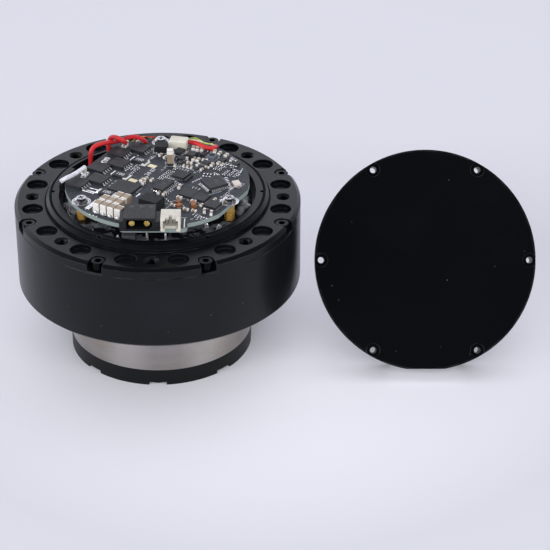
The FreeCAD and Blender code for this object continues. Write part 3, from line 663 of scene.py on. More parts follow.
def beads(table, base=None, rows=6, columns=16, lumps=0.08):
    """
    Solder beads from rows (x, y, half length, half width, height, degrees): a flattened dome whose
    radius is the cosine of the latitude, raised to a low power for the fat shoulder, with a slow wave.
    """
    x, y, half_x, half_y, height, degrees = np.array(table, float).T
    latitude = np.linspace(0, np.pi / 2 * 0.93, rows)[None, :, None]
    turn = np.linspace(0, 2 * np.pi, columns, endpoint=False)[None, None]
    phase = np.arange(len(x))[:, None, None] * 2.4
    radius = np.cos(latitude) ** 0.7 * (1 + lumps * np.sin(3 * turn + phase))
    lift = np.sin(latitude) * height[:, None, None] * (1 + lumps * np.cos(turn + phase))
    local = np.stack((half_x[:, None, None] * radius * np.cos(turn),
                      half_y[:, None, None] * radius * np.sin(turn),
                      lift + 0 * turn), -1)
    return placed(local, x, y, np.full(len(x), BOARD_TOP / MM if base is None else base), degrees)


def legs(table, thickness=0.15):
    """
    Bent chip legs from rows (x, y, width, reach, height, degrees): a flat strip that leaves the body,
    falls, and lies on its pad. The section is four corners at plus and minus half the width and half
    the thickness, square to the path.
    """
    x, y, width, reach, height, degrees = np.array(table, float).T
    out = np.array([-0.1, 0.25, 0.5, 0.62, 1.0])[None] * reach[:, None]
    lift = np.array([1.0, 1.0, 0.25, 0.0, 0.0])[None] * (height[:, None] - thickness) + thickness
    slope_x, slope_z = np.gradient(out, axis=1), np.gradient(lift, axis=1)
    size = np.hypot(slope_x, slope_z)
    side = np.array([1, -1, -1, 1])[None, None] * width[:, None, None] / 2
    over = np.array([1, 1, -1, -1])[None, None] * thickness / 2
    local = np.stack((out[..., None] - over * (slope_z / size)[..., None], side + 0 * out[..., None],
                      lift[..., None] + over * (slope_x / size)[..., None]), -1)
    return placed(local, x, y, np.full(len(x), BOARD_TOP / MM), degrees)


def leg_row(x, y, half, span, count, degrees, width, reach, height):
    """A row of legs along one side of a chip, a half width out and spread evenly over a span."""
    angle = np.radians(degrees)
    along = np.linspace(-span / 2, span / 2, count)
    centre_x = x + half * np.cos(angle) - along * np.sin(angle)
    centre_y = y + half * np.sin(angle) + along * np.cos(angle)
    return [(a, b, width, reach, height, degrees) for a, b in zip(centre_x, centre_y)]


def spun(radius, height, columns):
    """One outline, as rows of radius and height, carried round an upright axis."""
    turn = np.linspace(0, 2 * np.pi, columns, endpoint=False)[None]
    radius, height = np.array(radius)[:, None], np.array(height)[:, None]
    return np.stack((radius * np.cos(turn), radius * np.sin(turn), height + 0 * turn), -1)[None]


def annulus(inner, outer, height, x, y, base, columns=48):
    """Flat rings of bare metal: the section is a low rectangle carried round a circle."""
    one = spun([outer, outer, inner, inner], [0, height, height, 0], columns)
    count = len(x)
    return placed(np.repeat(one, count, 0), np.array(x), np.array(y), np.full(count, base),
                  np.zeros(count))


def two_ended(table, share=0.26):
    """
    Parts with a metal cap at each end, from rows (x, y, length, width, height, degrees). It returns the
    rows of the middle bodies and the rows of the caps, a hair wider and taller than the body.
    """
    x, y, length, width, height, degrees = np.array(table, float).T
    c, s = heading(degrees)
    cap = length * share
    off = (length - cap) / 2
    body = np.stack((x, y, length - cap, width, height, degrees), 1)
    caps = [np.stack((x + k * off * c, y + k * off * s, cap, width + 0.05, height + 0.03, degrees), 1)
            for k in (1, -1)]
    return body, np.concatenate(caps)


print("mesh helpers ready")

# %% [markdown]
# ## Power stage
# Each transistor has four bent legs on one side and a wide soldered tab on the other. A shunt is a
# ground resistor between two bright pads. The solder where the motor phases end is a pile of fat beads,
# so it gets large domes, and the row of capacitors gets a bright cap on both of its ends.

# %% Transistor legs and tabs
def along_chord(along, away):
    """A point measured along the board's long straight side and away from the centre."""
    a, b = np.radians(60), np.radians(150)
    return along * np.cos(a) + away * np.cos(b), along * np.sin(a) + away * np.sin(b)


TRANSISTORS = [along_chord(u, 22.2) for u in (-15.7, -2.8, 10.1)]
TRANSISTORS += [along_chord(u, 17.7) for u in (-9.7, 3.4, 16.4)]
SHUNTS = [along_chord(*spot) for spot in ((-16.2, 9.9), (-3.2, 13.0), (9.0, 13.0))]


def transistor_legs():
    rows = [row for x, y in TRANSISTORS for row in leg_row(x, y, 3.1, 3.81, 4, -30, 0.42, 0.75, 0.5)]
    return rings_mesh("transistor_legs", legs(rows))


def transistor_tabs():
    """One wide tab behind each transistor, with its solder, and four joints in front of the legs."""
    c, s = heading(-30)
    tabs = [(x - 3.3 * c, y - 3.3 * s, 0.7, 4.4, 0.3, -30) for x, y in TRANSISTORS]
    pads = [(x + 3.8 * c - k * s, y + 3.8 * s + k * c, 0.5, 0.3, 0.14, -30)
            for x, y in TRANSISTORS for k in (-1.905, -0.635, 0.635, 1.905)]
    return rings_mesh("transistor_tabs", [boxes(tabs, bevel=0.12), beads(pads, rows=4, columns=10)],
                      smooth=True)


def shunt_pads():
    """Bright strips at both ends of each shunt resistor."""
    c, s = heading(-30)
    strips = [(x + k * c, y + k * s, 0.75, 3.1, 0.5, -30) for x, y in SHUNTS for k in (-2.85, 2.85)]
    return rings_mesh("shunt_pads", boxes(strips, bevel=0.14))


def phase_solder():
    """Fat solder piles where the three phase leads end, and the joints of the first transistor."""
    piles = [(-25.3, 2.6, 1.1, 1.0, 1.0, 60), (-24.4, 4.2, 1.2, 1.0, 1.15, 60),
             (-26.0, 5.4, 1.4, 0.8, 1.3, 100),
             (-18.9, 13.2, 1.3, 1.15, 1.2, 60), (-18.1, 15.0, 1.3, 1.05, 1.0, 60),
             (-12.9, 24.2, 1.2, 1.1, 1.3, 60), (-12.2, 25.6, 1.3, 1.0, 1.0, 60),
             (-5.6, 28.4, 1.1, 0.9, 0.7, 10), (-8.0, 29.0, 1.2, 0.9, 0.7, 20)]
    return rings_mesh("phase_solder", beads(piles, rows=10, columns=28, lumps=0.12),
                      smooth=True)


def bare_bars():
    """Long bare copper bars, tinned, that feed the first half bridge, and the strips beside the bulk row."""
    bars = [(-21.2, -5.9, 3.6, 0.35, 0.12, -30), (-21.9, -7.5, 4.1, 0.35, 0.12, -30),
            (-23.0, -7.9, 5.0, 0.35, 0.12, -30), (-19.6, -7.2, 0.8, 3.0, 0.2, -30),
            (-14.2, -9.3, 0.65, 2.9, 0.15, -30), (-10.4, -7.2, 0.65, 2.6, 0.15, -30),
            (-6.0, -10.3, 0.6, 2.6, 0.15, -30), (-21.0, -16.6, 1.7, 6.8, 0.08, -30),
            (-22.2, -18.6, 0.5, 3.2, 0.10, -30), (12.9, 25.4, 0.8, 0.4, 0.1, -30)]
    return rings_mesh("bare_bars", boxes(bars, bevel=0.04, corner=0.1))


transistor_legs()
transistor_tabs()
shunt_pads()
phase_solder()
bare_bars()

# %% Caps of the bulk capacitors
BULK = [(x + k * 2.45, y - k * 1.415) for (x, y),
        count in (((-18.6, -20.9), 4), ((-16.6, -17.6), 3), ((-12.0, -15.6), 2))
        for k in range(count)]


def bulk_caps():
    """
    The plated end caps: a shell over each end of every capacitor, a hair proud of the ceramic. The
    outline of a cap is wider than the body by 0.06 mm, so the brown ceramic shows only between them.
    """
    c, s = heading(60)
    ends = [(x + k * 1.39 * c, y + k * 1.39 * s, 0.58, 2.44, 3.55, 60) for x, y in BULK for k in (-1, 1)]
    return rings_mesh("bulk_caps", boxes(ends, bevel=0.22, corner=0.22, steps=4), "cap_plating")


def bulk_fillets():
    """Solder that climbs the caps at the open sides of the block of capacitors."""
    c, s = heading(60)
    feet = [(x - 1.85 * c, y - 1.85 * s, 0.4, 0.95, 1.1, 60) for x, y in BULK]
    return rings_mesh("bulk_fillets", beads(feet, rows=7, columns=18), smooth=True)


def standing_caps():
    """The tall capacitor stands on its edge: a plated top, a plated side and a dark foot."""
    low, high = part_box("standing_capacitor")
    x, y = (low.x + high.x) / 2 / MM, (low.y + high.y) / 2 / MM
    wide, deep = (high.x - low.x) / MM + 0.06, (high.y - low.y) / MM + 0.06
    top = boxes([(x, y, wide, deep, 1.4, 0)], base=high.z / MM - 1.37, bevel=0.2, corner=0.2, steps=4)
    side = boxes([(x + wide / 2, y, 0.3, deep, 4.4, 0)], bevel=0.08)
    foot = boxes([(x, y, wide + 0.1, deep + 0.1, 0.9, 0)], bevel=0.3)
    rings_mesh("standing_plating", [top], "cap_plating")
    rings_mesh("standing_side", [side])
    return rings_mesh("standing_foot", foot, "chip_black")


bulk_caps()
bulk_fillets()
standing_caps()

# %% [markdown]
# ## Chips and their legs
# The chips differ in how their legs show: the processor has rows of bent legs on its sides, the flat
# converters only have pads that peep out, and the long driver has a row along each long side.

# %% Legs, pads and extra dark bodies
def logic_legs():
    rows = []
    for side in (-60, 30, 120, 210):
        rows += leg_row(19.6, -3.1, 3.45, 5.7, 9, side, 0.36, 1.15, 0.5)
    for side in (60, 240):
        rows += leg_row(2.4, -4.8, 3.85, 2.6, 4, side, 0.3, 0.5, 0.5)
    for side in (-30, 150):
        rows += leg_row(2.4, -4.8, 2.0, 6.6, 8, side, 0.26, 0.8, 0.5)
    return rings_mesh("logic_legs", legs(rows))


def logic_pads():
    """Solder pads that peep out around the flat leadless chips."""
    rows = []
    for x, y, half in ((8.0, 3.6, 2.6), (11.0, -10.0, 2.6), (15.3, -12.8, 2.6), (19.4, -17.7, 2.4)):
        for side in (-120, -30, 60, 150):
            angle = np.radians(side)
            for k in np.linspace(-1.9, 1.9, 8):
                rows.append((x + half * np.cos(angle) - k * np.sin(angle),
                             y + half * np.sin(angle) + k * np.cos(angle),
                             0.55, 0.24, 0.1, side))
    return rings_mesh("logic_pads", boxes(rows, bevel=0.04, corner=0.05))


def dark_bodies():
    """Small black packages among the passives: diodes, regulators, a gate driver and the slim bar."""
    rows = [(-10.9, -5.3, 9.0, 7.6, 0.75, -30), (6.9, 20.6, 3.4, 3.0, 1.1, 60),
            (11.2, 17.2, 3.4, 3.2, 1.7, 60),
            (7.8, 15.4, 2.8, 2.4, 1.1, 60), (7.4, 12.3, 2.2, 1.8, 0.9, 60),
            (15.4, 18.4, 2.4, 2.0, 1.0, 60),
            (16.4, 12.2, 3.0, 2.4, 0.9, -30), (21.8, 14.4, 2.6, 2.2, 0.8, -30),
            (26.6, 11.6, 2.4, 2.0, 0.8, -30),
            (10.6, 1.2, 4.8, 0.9, 0.7, 60), (9.6, -7.9, 1.2, 0.6, 0.5, -30),
            (-14.6, 10.1, 2.0, 1.4, 0.7, 60),
            (-8.8, 18.2, 2.0, 1.4, 0.7, 60), (-20.4, -0.6, 2.0, 1.4, 0.7, 60),
            (24.6, 8.0, 1.6, 1.2, 0.6, -30),
            (13.3, 8.4, 1.8, 1.2, 0.6, 60), (3.0, 14.6, 1.6, 1.2, 0.6, 60)]
    return rings_mesh("dark_bodies", boxes(rows, bevel=0.14, corner=0.14), "chip_black")


def grey_coil():
    """A small square shielded coil with a round core in its top."""
    body = boxes([(18.3, 16.4, 3.3, 3.0, 1.4, 60)], bevel=0.3, corner=0.5, steps=4)
    core = annulus(0.05, 1.0, 0.06, [18.3], [16.4], BOARD_TOP / MM + 1.4)
    rings_mesh("grey_coil", body, "coil_grey")
    return rings_mesh("grey_coil_core", core, "inductor_grey", closed=True)


def package_pins():
    """Two or three short legs on both sides of the small black packages."""
    rows = []
    for x, y, half, span, count, side, height in ((6.9, 20.6, 1.5, 2.2, 3, 150, 0.5),
                                                  (6.9, 20.6, 1.5, 2.2, 3, -30, 0.5),
                                                  (7.8, 15.4, 1.2, 1.6, 2, 150, 0.5),
                                                  (7.8, 15.4, 1.2, 1.6, 3, -30, 0.5),
                                                  (16.4, 12.2, 1.2, 2.0, 4, -120, 0.4),
                                                  (16.4, 12.2, 1.2, 2.0, 4, 60, 0.4),
                                                  (21.8, 14.4, 1.1, 1.8, 3, -120, 0.4),
                                                  (26.6, 11.6, 1.0, 1.5, 3, -120, 0.4),
                                                  (15.4, 18.4, 1.0, 1.6, 3, -30, 0.4),
                                                  (-14.6, 10.1, 0.7, 1.2, 3, -30, 0.3),
                                                  (-8.8, 18.2, 0.7, 1.2, 3, -30, 0.3),
                                                  (-20.4, -0.6, 0.7, 1.2, 3, -30, 0.3)):
        rows += leg_row(x, y, half, span, count, side, 0.3, 0.6, height)
    return rings_mesh("package_pins", legs(rows))


logic_legs()
logic_pads()
dark_bodies()
grey_coil()
package_pins()

# %% [markdown]
# ## The crowd of small resistors and capacitors
# These parts are the texture of a real board. They stand in short files that follow the two main
# directions of the layout, 60 and -30 degrees, so each file is a start, a step and a count. Capacitors
# are beige and as tall as wide. Resistors are flat and black. Both have bright ends.

# %% Small passives
def file_of(x, y, step, course, count, length, width, height, degrees):
    """Parts in a straight file: count places, one step apart, along a course in degrees."""
    k = np.arange(count)
    c, s = heading(course)
    fixed = [np.full(count, v) for v in (length, width, height, degrees)]
    return np.stack((x + k * step * c, y + k * step * s, *fixed), 1)


CERAMICS = np.array([
    (11.6, 23.1, 2.6, 1.2, 0.9, 85), (13.0, 22.4, 2.6, 1.2, 0.9, 82), (14.6, 21.9, 2.4, 1.2, 0.9, 80),
    (19.1, 20.3, 2.2, 1.2, 0.9, 82), (20.8, 19.3, 2.1, 1.1, 0.8, 66), (23.2, 18.0, 2.1, 1.2, 0.8, 64),
    (9.7, 16.2, 2.1, 1.3, 1.0, 64), (11.9, 15.0, 2.1, 1.2, 0.9, 78), (13.4, 14.3, 2.1, 1.2, 0.9, 70),
    (10.6, 12.4, 2.0, 1.2, 0.8, -22), (13.5, 11.2, 1.8, 0.9, 0.7, 60), (14.9, 7.7, 1.6, 0.8, 0.6, 60),
    (16.8, 9.3, 1.6, 0.8, 0.6, -30), (18.4, 10.9, 2.1, 1.1, 0.8, 72), (0.2, 18.2, 1.6, 0.9, 0.8, 60),
    (1.9, 16.6, 1.6, 0.9, 0.8, 60),
    (-5.2, -0.4, 2.0, 1.1, 0.9, 60), (-3.9, 0.7, 1.8, 1.0, 0.9, 60), (-1.9, -0.1, 1.6, 1.0, 0.8, 60),
    (-4.6, -2.4, 1.6, 1.0, 0.8, 60), (1.0, -9.0, 1.8, 1.0, 0.8, 60), (2.8, -9.9, 1.8, 1.0, 0.8, 60),
    (7.7, -4.9, 2.6, 1.0, 0.8, 80), (6.1, -17.6, 1.8, 1.0, 0.7, -30), (10.5, -20.4, 2.0, 1.0, 0.7, -30),
    (13.2, -21.4, 1.8, 1.0, 0.7, -30), (5.6, 10.6, 1.5, 0.8, 0.6, 80), (8.6, 10.4, 1.5, 0.8, 0.6, 80),
    (9.9, 9.6, 1.5, 0.8, 0.6, 84), (11.3, 9.2, 1.5, 0.8, 0.6, 82), (15.2, 14.6, 1.5, 0.8, 0.7, 80),
    (16.6, 15.2, 1.5, 0.8, 0.6, 84),
    (12.6, 18.9, 1.4, 0.8, 0.6, 60), (5.0, 17.8, 1.5, 0.8, 0.6, 90), (3.6, 18.4, 1.3, 0.8, 0.6, 90),
    (9.4, 19.6, 1.4, 0.8, 0.6, 60),
    (20.6, 12.2, 1.6, 0.9, 0.7, 60), (22.0, 11.2, 1.5, 0.8, 0.6, 60), (25.0, 14.4, 1.5, 0.9, 0.6, 60),
    (17.2, 17.6, 1.4, 0.8, 0.6, 70), (15.6, -17.6, 1.6, 0.9, 0.7, 60), (19.9, -13.8, 1.6, 0.9, 0.7, 60),
    (16.7, -21.6, 2.9, 0.9, 0.7, 88), (19.0, -23.1, 3.0, 0.9, 0.7, 88), (8.0, -12.6, 1.8, 1.3, 0.9, -30),
    (12.8, -15.2, 1.8, 1.3, 0.9, -30), (6.0, -26.0, 1.6, 0.9, 0.7, 0), (22.6, -15.8, 1.6, 0.9, 0.6, 60)])


def small_ceramics():
    body, caps = two_ended(CERAMICS)
    rings_mesh("ceramic_bodies", boxes(body, bevel=0.08), "ceramic_brown")
    return rings_mesh("ceramic_ends", boxes(caps, bevel=0.12, corner=0.12), "cap_plating")


def framed_capacitors():
    """Two long pale capacitors beside the shunts: a white body with a grey window in its top."""
    spots = [(-4.6, 12.2), (-10.5, 2.2)]
    body = boxes([(x, y, 3.5, 1.65, 0.5, 60) for x, y in spots], bevel=0.1)
    window = boxes([(x, y, 2.3, 0.85, 0.53, 60) for x, y in spots], bevel=0.02)
    rings_mesh("framed_capacitors", body, "cap_plating")
    return rings_mesh("framed_windows", window, "bay_grey")


def small_resistors():
    """Files of flat resistors round the chips, with their ends and a little solder at each end."""
    files = [file_of(*row) for row in (
        (5.6, 8.0, 1.15, 60, 4, 1.05, 0.5, 0.3, -30), (7.4, 8.4, 1.1, -30, 4, 1.0, 0.5, 0.3, 60),
        (0.6, 1.2, 1.1, 60, 7, 1.0, 0.5, 0.3, -30), (2.0, 0.6, 1.1, 60, 7, 1.0, 0.5, 0.3, -30),
        (3.5, 0.2, 1.1, 60, 5, 1.0, 0.5, 0.3, -30), (4.2, -0.8, 1.0, -30, 6, 1.1, 0.45, 0.3, 60),
        (19.4, 8.2, 1.1, 60, 5, 1.0, 0.5, 0.3, -30), (20.9, 7.4, 1.1, 60, 5, 1.0, 0.5, 0.3, -30),
        (22.6, 4.2, 1.15, 60, 6, 1.0, 0.5, 0.3, -30), (24.4, 3.4, 1.15, 60, 5, 1.0, 0.5, 0.3, -30),
        (26.2, 2.6, 1.15, 60, 4, 1.0, 0.5, 0.3, -30), (23.2, 12.4, 1.1, -30, 5, 1.0, 0.5, 0.3, 60),
        (24.4, -9.0, 1.2, -120, 4, 1.0, 0.5, 0.3, -30), (13.2, -23.6, 1.1, -30, 3, 1.0, 0.5, 0.3, 60),
        (13.8, -25.2, 1.1, -30, 3, 1.0, 0.5, 0.3, 60), (-9.2, 4.8, 1.2, 60, 5, 0.9, 0.5, 0.3, -30),
        (-14.3, -2.2, 1.2, 60, 3, 0.9, 0.5, 0.3, -30), (-3.6, 14.8, 1.2, 60, 3, 0.9, 0.5, 0.3, -30),
        (-1.4, 20.4, 1.3, 80, 2, 0.9, 0.5, 0.3, -30), (5.2, -6.8, 1.3, -120, 4, 1.2, 0.45, 0.3, -30),
        (16.0, 5.0, 1.2, -10, 5, 0.7, 0.45, 0.25, 60), (9.6, 21.0, 1.2, 60, 2, 1.0, 0.5, 0.3, -30),
        (16.9, 21.6, 1.3, -35, 2, 1.0, 0.6, 0.4, 60), (25.2, 16.0, 1.2, -50, 3, 1.0, 0.6, 0.4, 60),
        (12.4, -5.2, 1.2, -30, 3, 1.0, 0.5, 0.3, 60), (3.4, -13.0, 1.3, -60, 3, 1.0, 0.5, 0.3, -30))]
    table = np.concatenate(files)
    table[:, 5] += rng.normal(0, 1.2, len(table))
    body, caps = two_ended(table, 0.3)
    rings_mesh("resistor_bodies", boxes(body, bevel=0.04, corner=0.04), "chip_black")
    return rings_mesh("resistor_ends", boxes(caps, bevel=0.06, corner=0.06))


small_ceramics()
framed_capacitors()
small_resistors()

# %% [markdown]
# ## Marks on the board
# White ink is printed on the mask: thin frames round the parts and tiny numbers beside them. Round the
# three screws the copper is bare and tinned, as two thin rings, so that the screw earths the housing.

# %% Rings round the board screws
SCREW_SPOTS = [(28.75 * np.cos(a), 28.75 * np.sin(a)) for a in np.radians((90, 210, 330))]


def screw_rings():
    x, y = zip(*SCREW_SPOTS)
    base = BOARD_TOP / MM
    rings = [annulus(r - 0.14, r + 0.14, 0.03, x, y, base) for r in (2.5, 3.05)]
    return rings_mesh("screw_rings", rings, closed=True)


def screw_ring_ticks():
    """Short tinned spokes between the two rings, one every eighteen degrees."""
    rows = []
    for x, y in SCREW_SPOTS:
        for degrees in range(0, 360, 18):
            a = np.radians(degrees)
            rows.append((x + 2.78 * np.cos(a), y + 2.78 * np.sin(a), 0.4, 0.14, 0.025, degrees))
    return rings_mesh("screw_ring_ticks", boxes(rows, bevel=0.01, corner=0.03))


screw_rings()
screw_ring_ticks()

# %% White ink: frames and strokes
def frame_of(x, y, length, width, degrees, line=0.13):
    """The four strokes of a printed rectangle."""
    c, s = heading(degrees)
    rows = []
    for k in (-1, 1):
        rows.append((x + k * length / 2 * c, y + k * length / 2 * s, line, width + line, 0.02, degrees))
        rows.append((x - k * width / 2 * s, y + k * width / 2 * c, length + line, line, 0.02, degrees))
    return rows


def ink_frames():
    rows = []
    for x, y, length, width, degrees in ((3.9, 12.2, 3.4, 3.0, 90), (13.2, -15.6, 3.8, 2.2, -60),
                                         (7.6, -16.4, 5.4, 2.4, -60), (27.1, -2.6, 4.2, 3.6, -30),
                                         (18.3, 16.4, 4.0, 3.6, 60), (6.9, 20.6, 4.6, 3.6, 60),
                                         (0.4, 22.4, 5.6, 4.6, 0), (-1.0, -18.4, 9.2, 9.2, -30)):
        rows += frame_of(x, y, length, width, degrees)
    rows += [(1.9, -4.9, 0.14, 7.6, 0.02, -30), (5.0, -6.2, 7.8, 0.14, 0.02, 60),
             (4.2, -6.8, 7.8, 0.14, 0.02, 60),
             (2.3, -16.8, 1.5, 1.5, 0.02, 15), (19.6, -8.9, 6.0, 0.14, 0.02, 30),
             (10.3, -29.2, 0.35, 6.2, 0.02, 0),
             (-8.9, 3.9, 0.9, 0.14, 0.02, 60), (9.4, -25.6, 3.2, 0.14, 0.02, 0),
             (-1.6, 1.9, 0.5, 0.5, 0.02, 60)]
    return rings_mesh("ink_frames", boxes(rows, bevel=0.005, corner=0.03), "white_ink")


def bare_pads():
    """Empty tinned pads, test points and vias, in files, and the two large beige pads by the shunts."""
    files = [file_of(*row) for row in (
        (12.2, -0.8, 0.95, 45, 5, 0.5, 0.5, 0.04, 45), (15.6, 3.6, 1.15, -12, 6, 0.55, 0.45, 0.04, -30),
        (19.4, 5.6, 1.0, -40, 3, 0.5, 0.5, 0.04, 0), (-21.4, -23.4, 1.4, -32, 3, 0.6, 0.5, 0.04, 60),
        (14.9, -24.6, 1.0, -30, 4, 0.6, 0.6, 0.05, 60), (27.6, 3.6, 1.0, 75, 6, 0.5, 0.5, 0.04, 0),
        (24.6, -7.2, 1.0, 60, 5, 0.7, 0.4, 0.04, -30), (-9.4, 8.2, 1.0, 60, 5, 0.5, 0.4, 0.04, -30),
        (10.4, 8.6, 0.9, -30, 6, 0.6, 0.3, 0.04, 60), (23.4, 2.2, 1.15, -77, 8, 1.2, 0.4, 0.05, 13),
        (-6.6, -7.9, 0.9, 60, 4, 0.5, 0.4, 0.04, -30), (-11.2, 7.4, 1.1, 60, 4, 0.7, 0.35, 0.04, -30),
        (2.2, 12.6, 1.0, 90, 4, 0.4, 0.4, 0.04, 0))]
    pads = rings_mesh("bare_pads", boxes(np.concatenate(files), bevel=0.02, corner=0.12, steps=3))
    large = [(-2.2, 10.6, 1.9, 3.0, 0.12, 60), (-8.3, 0.2, 1.9, 3.0, 0.12, 60)]
    rings_mesh("gold_pads", boxes(large, bevel=0.03, corner=0.1), "pale_gold")
    return pads


# %% White ink: numbers
def lettering(name, labels, finish, height, depth=0.02):
    """
    One mesh of printed numbers from rows (text, x, y, size, degrees). Each text becomes a mesh, is
    turned about its own upright axis and moved to its place, and the meshes are joined.
    """
    joined = bmesh.new()
    for text, x, y, size, degrees in labels:
        curve = bpy.data.curves.new("label", "FONT")
        curve.body = text
        curve.size = size * MM
        curve.extrude = depth * MM / 2
        curve.align_x = curve.align_y = "CENTER"
        curve.resolution_u = 2
        holder = bpy.data.objects.new("label", curve)
        shape = bpy.data.meshes.new_from_object(holder)
        shape.transform(Matrix.Translation((x * MM, y * MM,
                                            height)) @ Matrix.Rotation(np.radians(degrees), 4, "Z"))
        joined.from_mesh(shape)
        bpy.data.objects.remove(holder)
        bpy.data.meshes.remove(shape)
    mesh = bpy.data.meshes.new(name)
    joined.to_mesh(mesh)
    joined.free()
    return attach(bpy.data.objects.new(name, mesh), finish)


def board_numbers():
    """Generic numbers beside the parts, in files like the parts themselves, and one larger number."""
    labels = [("24 07", -2.6, 6.4, 2.5, 60)]
    starts = ((-8.2, 8.4, 60, 5, 60), (1.4, 8.0, 60, 3, 60), (6.0, 11.4, -30, 4, 60),
              (20.4, 13.6, -30, 4, 60),
              (23.0, 9.8, -30, 4, -30), (5.4, 1.2, -60, 3, -30), (-15.9, -3.4, 60, 3, 60),
              (9.4, -12.6, -30, 2, -30),
              (12.6, 6.0, 60, 3, -30), (6.6, 25.2, -12, 3, 0), (16.4, -20.2, 20, 3, 0),
              (-2.6, 16.6, 60, 4, -30),
              (12.6, -26.6, 0, 3, 0), (22.2, -11.4, -100, 3, 0), (-12.9, 13.0, 60, 3, -30),
              (2.6, 26.4, 160, 2, 0))
    number = 1
    for x, y, course, count, degrees in starts:
        c, s = heading(course)
        for k in range(count):
            labels.append((str(10 + (number * 7) % 89), x + 1.7 * k * c, y + 1.7 * k * s, 1.05, degrees))
            number += 1
    return lettering("board_numbers", labels, "white_ink", BOARD_TOP + 0.01 * MM)


def part_numbers():
    """Values on the tops of the shunts, and a faint number pressed into the power socket."""
    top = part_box("shunt_resistors")[1].z
    lettering("shunt_numbers", [("100", x, y, 2.1, -30) for x, y in SHUNTS], "white_ink",
              top)
    chip_top = BOARD_TOP + 1.4 * MM
    lettering("chip_numbers",
              [("32", 19.9, -2.4, 1.5, 30), ("144", 19.6, -4.2, 1.1, 30), ("18", 2.4, -4.8, 1.6, 60)],
              "grey_ink", chip_top)
    socket_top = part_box("power_connector")[1].z
    return lettering("socket_numbers",
                     [("30", -7.2, -26.6, 1.7, 0), ("60", -3.6, -26.6, 1.7, 0),
                      ("30", -0.6, -26.6, 1.7, 0)],
                     "grey_ink", socket_top - 0.005 * MM)


ink_frames()
bare_pads()
board_numbers()
part_numbers()

# %% [markdown]
# ## Leads
# A soft lead has no corners, so each one is a smooth spline with a few control points: it leaves its
# duct below the board, comes up past the board's edge, bends over the parts and ends in its solder.
# Thinner wires of the sensor cross them. A round section is swept along each spline.

# %% Leads and thin wires
def lead(name, radius, points, finish, slot, *stands_for):
    """A wire whose middle line is a quadratic spline that starts and ends at its first and last points."""
    curve = bpy.data.curves.new(name, "CURVE")
    curve.dimensions = "3D"
    curve.bevel_depth = radius * MM
    curve.bevel_resolution = 4
    curve.resolution_u = 10
    curve.use_fill_caps = True
    spline = curve.splines.new("NURBS")
    spline.points.add(len(points) - 1)
    for point, (x, y, z) in zip(spline.points, points):
        point.co = (x * MM, y * MM, z * MM, 1)
    spline.order_u = 3
    spline.use_endpoint_u = True
    piece = attach(bpy.data.objects.new(name, curve), finish)
    if stands_for:
        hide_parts(*stands_for)
    return piece


LEADS = {
    "phase_wire_a": (0.8, "lead_red", "phase_lead_a", [
        (-24.6, 19.6, 50.5), (-24.4, 19.2, 58.0), (-23.9, 17.9, 66.0), (-19.4, 20.8, 66.4),
        (-14.8, 26.4, 63.9),
        (-10.0, 27.4, 65.6), (-6.0, 27.0, 64.6), (-5.4, 28.0, 62.6)]),
    "phase_wire_b": (0.8, "lead_red", "phase_lead_b", [
        (-18.3, 26.0, 50.5), (-18.4, 26.2, 58.0), (-18.2, 26.5, 65.4), (-15.4, 23.4, 67.4),
        (-12.6, 22.4, 66.0),
        (-12.2, 24.9, 64.2)]),
    "phase_sleeve_c": (0.78, "lead_white", "phase_lead_c", [
        (-32.6, -3.9, 64.4), (-31.0, -2.6, 64.9), (-29.1, -1.0, 65.0), (-26.8, 2.4, 64.9),
        (-25.2, 6.2, 64.4)]),
    "sensor_sleeve": (0.8, "lead_red", "sensor_leads", [
        (9.9, 25.4, 64.2), (12.0, 25.4, 64.1), (14.8, 23.4, 63.6), (17.0, 21.9, 63.5), (18.8, 21.9, 63.5),
        (19.5, 25.4, 62.9), (19.5, 26.8, 58.6), (19.6, 26.0, 54.8)]),
}
for name, (radius, finish, node, points) in LEADS.items():
    lead(name, radius, points, finish, finish, node)

THIN_WIRES = {
    "sensor_wire_green": (0.22, "lead_green", [
        (9.6, 27.2, 64.2), (11.4, 26.6, 65.6), (14.0, 24.8, 65.2), (16.4, 22.6, 64.6),
        (18.4, 23.0, 64.8)]),
    "sensor_wire_beige": (0.22, "lead_beige", [
        (9.6, 26.2, 64.4), (11.2, 24.9, 65.6), (13.6, 24.2, 65.2), (16.0, 23.6, 64.6),
        (18.8, 22.6, 64.5)]),
    "phase_core_c": (0.4, "lead_black", [
        (-31.8, -3.3, 64.6), (-33.0, -3.6, 63.6), (-33.0, -2.2, 60.0), (-32.6, 2.8, 57.4),
        (-32.4, 5.4, 54.8)]),
    "phase_end_c": (0.4, "lead_beige", [
        (-25.6, 5.2, 64.6), (-24.8, 7.0, 64.2), (-24.9, 5.4, 63.2), (-25.2, 4.0, 62.9)]),
    "strand_end": (0.3, "lead_beige", [
        (-12.15, 24.6, 64.9), (-11.2, 25.0, 65.2), (-11.5, 25.4, 63.9), (-12.2, 25.3, 63.3)]),
    "back_wire_green": (0.22, "lead_green", [
        (-10.2, 28.4, 62.8), (-8.4, 30.4, 63.6), (-5.8, 31.2, 63.4), (-3.2, 31.0, 62.9)]),
    "back_wire_red": (0.22, "lead_red", [
        (-9.2, 28.6, 62.8), (-7.4, 30.8, 63.1), (-4.6, 31.0, 63.5), (-1.8, 31.2, 62.9)]),
}
for name, (radius, finish, points) in THIN_WIRES.items():
    lead(name, radius, points, finish, "lead_red")

# %% [markdown]
# ## Under the board
# The bay below the board is dark but not empty. A ring of glossy potting resin covers the ends of the
# windings. Its surface is uneven, so it catches the lamps in soft patches, and grey patches of painted
# reflection are added to its colour. Tinned pegs and a plug base stand in it near the connectors.

# %% Resin, pegs and plug base
BAY_FLOOR = 54.6          # floor of the controller bay, mm


